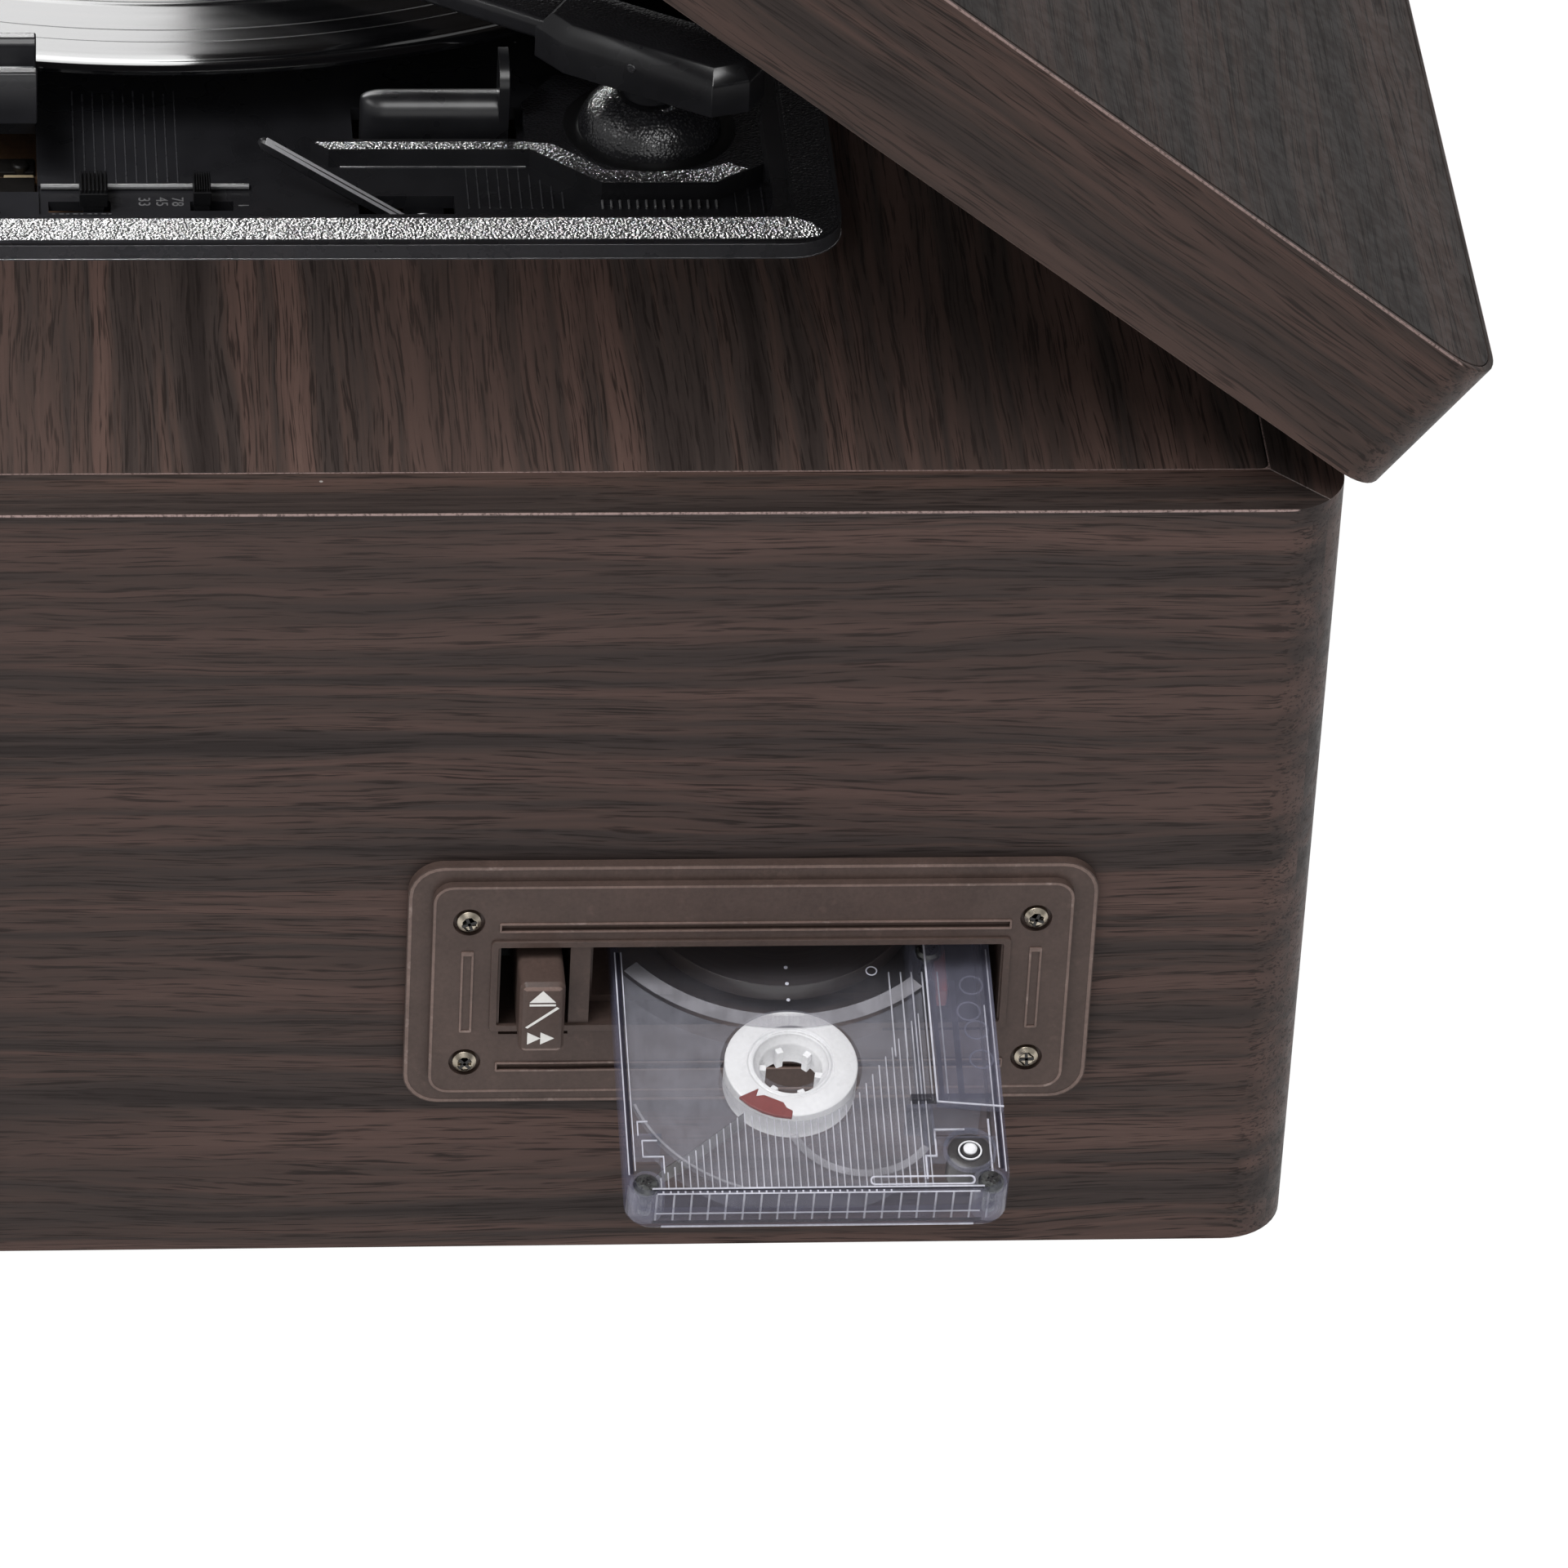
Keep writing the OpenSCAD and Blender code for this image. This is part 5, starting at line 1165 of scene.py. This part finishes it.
p = Part()
p.lathe([(11.2, -2.9), (11.2, 2.9), (10.8, 3.1), (7.4, 3.1), (7.2, 2.85), (6.9, 2.85), (6.7, 3.1), (6.35, 3.05), (6.1, 2.2), (5.5, 1.7), (5.3, 1.3), (5.25, -3.1), (10.8, -3.1)], 64,
        CAS @ Matrix.Translation((-28.95, 29, 0)), closed=True)
for a in range(0, 360, 60):
    m = CAS @ Matrix.Translation((-28.95, 29, 0)) @ Matrix.Rotation(math.radians(a + 20), 4, "Z")
    p.box((4.1, -0.6, -3.0), (5.4, 0.6, 0.9), m)
p.make("hub_outer", M["hub"], "outer_hub", ["outer_reel"], bevel=0.15)
p = Part()
p.lathe([(10.9, -2.9), (10.9, 2.9), (10.6, 3.1), (7.4, 3.1), (7.2, 2.85), (6.9, 2.85), (6.7, 3.1), (6.35, 3.05), (6.1, 2.2), (5.5, 1.7), (5.3, 1.3), (5.25, -3.1), (10.6, -3.1)], 64,
        CAS @ Matrix.Translation((-71.45, 29, 0)), closed=True)
for a in range(0, 360, 60):
    m = CAS @ Matrix.Translation((-71.45, 29, 0)) @ Matrix.Rotation(math.radians(a), 4, "Z")
    p.box((4.1, -0.6, -3.0), (5.4, 0.6, 0.9), m)
p.make("hub_inner", M["hub"], "inner_hub", ["inner_reel"], bevel=0.15)
# leader clamp on the outer hub
p = Part()
pts = []
for r, a in ((7.9, -47), (11.7, -52), (11.7, -40), (11.7, -28), (11.7, -16), (11.7, -3), (10.2, -2), (9.6, -8), (8.6, -12), (8.4, -36), (9.4, -42)):
    pts.append((-28.95 + r * math.cos(math.radians(a)), 29 + r * math.sin(math.radians(a))))
p.prism(pts, 2.6, 3.25, CAS)
p.make("hub_clip", M["clip"], "outer_hub", bevel=0.15)
# screws, roller, pins, pad
p = Part()
for u, v in ((-3.1, 3.3), (-3.1, 60.6), (-52.6, 53.6), (-97.2, 3.4), (-97.2, 60.4)):
    m = CAS @ Matrix.Translation((u, v, 0))
    p.lathe([(0, -3.4), (1.1, -3.4), (1.1, 2.9), (2.15, 2.9), (2.15, 3.7), (1.7, 4.2), (0.7, 4.25), (0.6, 3.6), (0, 3.6)], 28, m)
    # dark crosses on the screw heads: painted shade of the cross slots
    for a in (20, 110):
        p.box((-1.1, -0.2, 4.2), (1.1, 0.2, 4.28), m @ Matrix.Rotation(math.radians(a), 4, "Z"), k=1)
p.make("shell_screws", [M["screw_dark"], M["part"]], "cassette")
p = Part()
for u in (-9.8, -90.6):
    m = CAS @ Matrix.Translation((u, 57.6, 0))
    p.lathe([(3.7, -3.0), (3.7, 3.0), (3.3, 3.2), (2.2, 3.2), (2.0, 2.9), (2.0, -3.0)], 40, m, closed=True)
    p.lathe([(0, -3.5), (1.4, -3.5), (1.4, 3.5), (0.9, 3.9), (0, 3.9)], 24, m)
p.make("guide_rollers", M["knob"], "cassette")
# tops of the roller pins in near-white: painted highlight of the metal pins
p = Part()
for u in (-9.8, -90.6):
    m = CAS @ Matrix.Translation((u, 57.6, 0))
    p.lathe([(0, 3.4), (1.15, 3.4), (1.15, 4.0), (0.8, 4.25), (0, 4.25)], 24, m)
    p.lathe([(1.75, 3.2), (2.0, 3.2), (2.0, 3.5), (1.75, 3.5)], 32, m, closed=True)
p.make("roller_pins", M["line"], "cassette")
p = Part()
for u in (-9.8, -90.6):
    m = CAS @ Matrix.Translation((u, 57.6, 0))
    p.lathe([(4.5, 3.0), (4.5, 3.9), (3.9, 3.9), (3.9, 3.0)], 40, m, closed=True)
for u, v in ((-3.2, 3.4), (-3.2, 60.4), (-54.0, 53.6), (-97.2, 3.4), (-97.2, 60.4)):
    m = CAS @ Matrix.Translation((u, v, 0))
    p.lathe([(2.9, -3.5), (2.9, 3.5), (2.3, 3.5), (2.3, -3.5)], 28, m, closed=True)
# inner walls beside the window and along the head
p.box((-16.2, 50.2, -3.5), (-6.0, 50.7, 3.5), CAS)
p.box((-19.2, 47.6, -3.5), (-18.4, 60.0, 4.1), CAS)
p.box((-94.0, 50.2, -3.5), (-19.0, 50.7, 3.5), CAS)
p.box((-14.0, 1.3, -3.5), (-13.4, 6.4, 3.5), CAS)
p.box((-8.0, 6.0, -3.5), (-2.2, 6.5, 3.5), CAS)
p.box((-19.0, 51.6, -3.5), (-12.4, 52.0, 3.5), CAS)
p.box((-12.8, 52.0, -3.5), (-12.4, 62.4, 3.5), CAS)
p.make("shell_posts", M["frost"], "cassette", bevel=0.12)
# dark bar beside the head: painted shade where the clear wall bends the light
p = Part()
p.box((-21.4, 48.4, 2.6), (-20.3, 62.2, 4.1), CAS)
p.make("painted_shade_bar", M["smoke"], "cassette", bevel=0.15)
p = Part()
p.box((-55.4, 54.6, -2.2), (-45.0, 56.6, 2.2), CAS)
p.make("pressure_pad", M["clip"], "cassette", bevel=0.4)
p = Part()
lead = [(-19.4, 20.6), (-14.5, 14.8), (-11.0, 10.8), (-7.6, 6.2), (-6.2, 5.0)]
p.loft([[(u, v, -1.9), (u + 0.1, v + 0.1, -1.9), (u + 0.1, v + 0.1, 1.9), (u, v, 1.9)] for u, v in lead], CAS)
p.loft([[(u, v, -1.9), (u + 0.1, v + 0.1, -1.9), (u + 0.1, v + 0.1, 1.9), (u, v, 1.9)] for u, v in ((-6.3, 60.4), (-9.0, 61.6), (-50.0, 61.9), (-90.0, 61.6), (-94.0, 58.0), (-88.0, 46.0))], CAS)
p.make("tape_leader", M["tape"], "cassette")

# ---------------------------------------------------------------- radio front
p = Part()
for s in (-148, 148):
    o = rrect(139.6, 123.2, 4.6, 6, s, 81.5)
    p.frame(o, rrect(134.0, 117.6, 2.4, 6, s, 81.5), 180.4, 182.2, SY)
p.make("grille_trim", M["fascia"], "cabinet_body", bevel=0.35)
p = Part()
o = rrect(131.6, 39.6, 2.8, 6, 0, 113)
o2 = rrect(137.4, 45.4, 2.8, 6, 0, 113)
p.frame(o2, o, 179.9, 180.5, SY)
p.make("dial_trim", M["steel"], "cabinet_body", bevel=0.2)
p = Part()
for x in (-48, 48):
    m = SY @ Matrix.Translation((x, 58, 180.0))
    p.lathe([(14.6, 0), (16.2, 0), (16.2, 0.25), (15.8, 0.5), (15.0, 0.5), (14.6, 0.25)], 72, m, closed=True)
m = SY @ Matrix.Translation((0, 62, 180.0))
p.lathe([(10.6, 0), (12.0, 0), (12.0, 0.25), (11.6, 0.5), (11.0, 0.5), (10.6, 0.25)], 60, m, closed=True)
p.make("knob_rings", M["steel"], "cabinet_body")
p = Part()
for x, n, a0, a1, r in ((-48, 11, 225, -45, 17.6), (0, 4, 150, 30, 13.4)):
    zc = 58 if x else 62
    for i in range(n):
        a = math.radians(a0 + (a1 - a0) * i / (n - 1))
        c, s = math.cos(a), math.sin(a)
        m = SY @ Matrix.Translation((x + r * c, zc + r * s, 180.0)) @ Matrix.Rotation(a, 4, "Z")
        p.box((-0.9, -0.18, 0.0), (0.9, 0.18, 0.08), m)
for y in (119, 106):
    p.box((-60, y - 0.1, 172.72), (60, y + 0.1, 172.8), SY)
for i in range(41):
    x = -60 + 3 * i
    h = 2.2 if i % 5 == 0 else 1.1
    p.box((x - 0.11, 119, 172.72), (x + 0.11, 119 + h, 172.8), SY)
    p.box((x - 0.11, 106 - h, 172.72), (x + 0.11, 106, 172.8), SY)
p.make("scale_lines", M["print"], "cabinet_body")
for i, s in enumerate(("88", "92", "96", "100", "104", "108")):
    text("scale_a%d" % i, s, 4.4, SY @ Matrix.Translation((-55 + 22 * i, 124.2, 172.78)), M["print"], depth=0.05)
for i, s in enumerate(("54", "60", "70", "85", "110", "160")):
    text("scale_b%d" % i, s, 4.4, SY @ Matrix.Translation((-55 + 22 * i, 101.0, 172.78)), M["print"], depth=0.05)
for i in range(0, 11, 2):
    a = math.radians(225 - 27 * i)
    text("level_%d" % i, str(i), 3.4, SY @ Matrix.Translation((-48 + 21 * math.cos(a), 58 + 21 * math.sin(a), 180.04)), M["print"], depth=0.05)


def knob(name, x, z, r, h, body, node):
    q = Part()
    m = SY @ Matrix.Translation((x, z, 180.6))
    q.lathe([(0, -27), (2.8, -27), (3.0, -26.8), (3.0, 0), (r - 0.3, 0), (r, 0.3), (r, 1.7), (r - 0.3, 2.0), (r * 0.9, 2.2), (r * 0.85, h - 1.0),
             (r * 0.80, h - 0.35), (r * 0.74, h), (r * 0.66, h), (r * 0.64, h - 0.35), (0, h - 0.5)], 72, m)
    n = 40
    for i in range(n):
        mm = m @ Matrix.Rotation(2 * math.pi * i / n, 4, "Z")
        q.loft([[(r * 0.9 - 0.3, -0.32, 2.1), (r * 0.9 - 0.3, 0.32, 2.1), (r * 0.9 + 0.45, 0.16, 2.1), (r * 0.9 + 0.45, -0.16, 2.1)],
                [(r * 0.85 - 0.3, -0.3, h - 1.2), (r * 0.85 - 0.3, 0.3, h - 1.2), (r * 0.85 + 0.35, 0.14, h - 1.4), (r * 0.85 + 0.35, -0.14, h - 1.4)]], mm)
    q.make(name, M["knob"], body, [node], angle=30)
    q = Part()
    q.frame(circle(r * 0.63, 60), circle(r * 0.1, 60), h - 0.52, h - 0.3, m)
    q.prism(circle(r * 0.11, 60), h - 0.52, h - 0.34, m)
    q.make(name + "_cap", M["fascia"], body, bevel=0.08)
    q = Part()
    q.box((-0.45, r * 0.25, h - 0.32), (0.45, r * 0.6, h - 0.2), m)
    q.make(name + "_mark", M["print"], body)


knob("tuning_dial", 48, 58, 14, 13, "tuning", "tuning_knob")
knob("volume_dial", -48, 58, 14, 13, "volume", "volume_knob")
knob("function_dial", 0, 62, 10, 12, "function", "function_knob")

# ---------------------------------------------------------------- floor, camera, light
me = bpy.data.meshes.new("floor")
me.from_pydata([(-9, -9, -0.0002), (9, -9, -0.0002), (9, 9, -0.0002), (-9, 9, -0.0002)], [], [(0, 1, 2, 3)])
floor = bpy.data.objects.new("floor", me)
SCENE.collection.objects.link(floor)
fm = bpy.data.materials.new("pale_floor")
fm.use_nodes = True
nt = fm.node_tree
nt.nodes.clear()
out = nt.nodes.new("ShaderNodeOutputMaterial")
dif = nt.nodes.new("ShaderNodeBsdfDiffuse")
dif.inputs["Color"].default_value = (0.08, 0.08, 0.08, 1)
em = nt.nodes.new("ShaderNodeEmission")
em.inputs["Strength"].default_value = 1.0
add = nt.nodes.new("ShaderNodeAddShader")
nt.links.new(dif.outputs[0], add.inputs[0])
nt.links.new(em.outputs[0], add.inputs[1])
nt.links.new(add.outputs[0], out.inputs["Surface"])
me.materials.append(fm)

pos = Vector((1.678399, -0.061490, 1.130282))
pi_, ya, ro = math.radians(35.4495), math.radians(-6.1909), math.radians(3.2125)
fwd = Vector((-math.cos(pi_) * math.cos(ya), -math.cos(pi_) * math.sin(ya), -math.sin(pi_)))
right = Vector((-math.sin(ya), math.cos(ya), 0.0))
up = right.cross(fwd)
R = math.cos(ro) * right + math.sin(ro) * up
U = -math.sin(ro) * right + math.cos(ro) * up
cam = bpy.data.cameras.new("camera")
cam.sensor_fit = "HORIZONTAL"
cam.sensor_width = 36.0
cam.lens = 244.56
cam.clip_start = 0.05
cam.clip_end = 40.0
co = bpy.data.objects.new("camera", cam)
SCENE.collection.objects.link(co)
rot = Matrix((R, U, -fwd)).transposed()
co.matrix_world = Matrix.Translation(pos) @ rot.to_4x4()
SCENE.camera = co

world = bpy.data.worlds.new("studio")
SCENE.world = world
world.use_nodes = True
bg = world.node_tree.nodes["Background"]
bg.inputs["Color"].default_value = (1.0, 1.0, 1.0, 1)
bg.inputs["Strength"].default_value = 0.34


def area(name, at, to, w, h, watts, colour=(1, 1, 1), diffuse=True):
    li = bpy.data.lights.new(name, "AREA")
    li.shape = "RECTANGLE"
    li.size, li.size_y = w, h
    li.energy = watts
    li.color = colour
    ob = bpy.data.objects.new(name, li)
    SCENE.collection.objects.link(ob)
    ob.location = at
    d = (Vector(to) - Vector(at)).normalized()
    ob.rotation_euler = d.to_track_quat("-Z", "Y").to_euler()
    ob.visible_camera = False
    ob.visible_diffuse = diffuse
    return ob


area("overhead", (0.5, -0.5, 1.9), (0.05, 0, 0.15), 1.3, 1.3, 38)
area("camera_side", (2.2, 0.35, 0.9), (0.2, 0.05, 0.1), 1.1, 1.1, 3)
# tall softbox behind; its mirror image lies in the record and on the grained edges of the deck
gloss = area("far_softbox", (-2.25, -0.945, 1.62), (0.1, -0.825, 0.16), 2.1, 1.5, 125, diffuse=False)
gloss.data.cycles.use_multiple_importance_sampling = False
sheen = area("record_sheen", (-0.10, -0.159, 0.285), (0.753, -0.179, -0.237), 0.33, 0.16, 1.15, diffuse=False)
sx = bpy.data.collections.new("sheen_on")
sx.objects.link(bpy.data.objects["record_disc"])
sheen.light_linking.receiver_collection = sx
glint = area("glint", (1.3, 0.35, 2.3), (0.12, 0.05, 0.155), 0.5, 0.5, 34, diffuse=False)
rx = bpy.data.collections.new("softbox_on")
for ob in (bpy.data.objects["grain_skin"], bpy.data.objects["rim_foot"],
           bpy.data.objects["arm_dome"], bpy.data.objects["lift_bar"], bpy.data.objects["cue_handle"], bpy.data.objects["cue_chrome"],
           bpy.data.objects["rest_bracket"], bpy.data.objects["rest_roller"], bpy.data.objects["strip_bead"],
           bpy.data.objects["rim_skirt"]):
    rx.objects.link(ob)
gloss.light_linking.receiver_collection = rx
gx = bpy.data.collections.new("glint_on")
for ob in list(rx.objects) + [bpy.data.objects["record_disc"], bpy.data.objects["arm_body"], bpy.data.objects["deck_ribs"], bpy.data.objects["island_teeth"]]:
    gx.objects.link(ob)
glint.light_linking.receiver_collection = gx
bk = bpy.data.collections.new("softbox_shade")
for ob in (bpy.data.objects["arm_body"], bpy.data.objects["lift_bar"]):
    bk.objects.link(ob)
gloss.light_linking.blocker_collection = bk
glint.light_linking.blocker_collection = bk
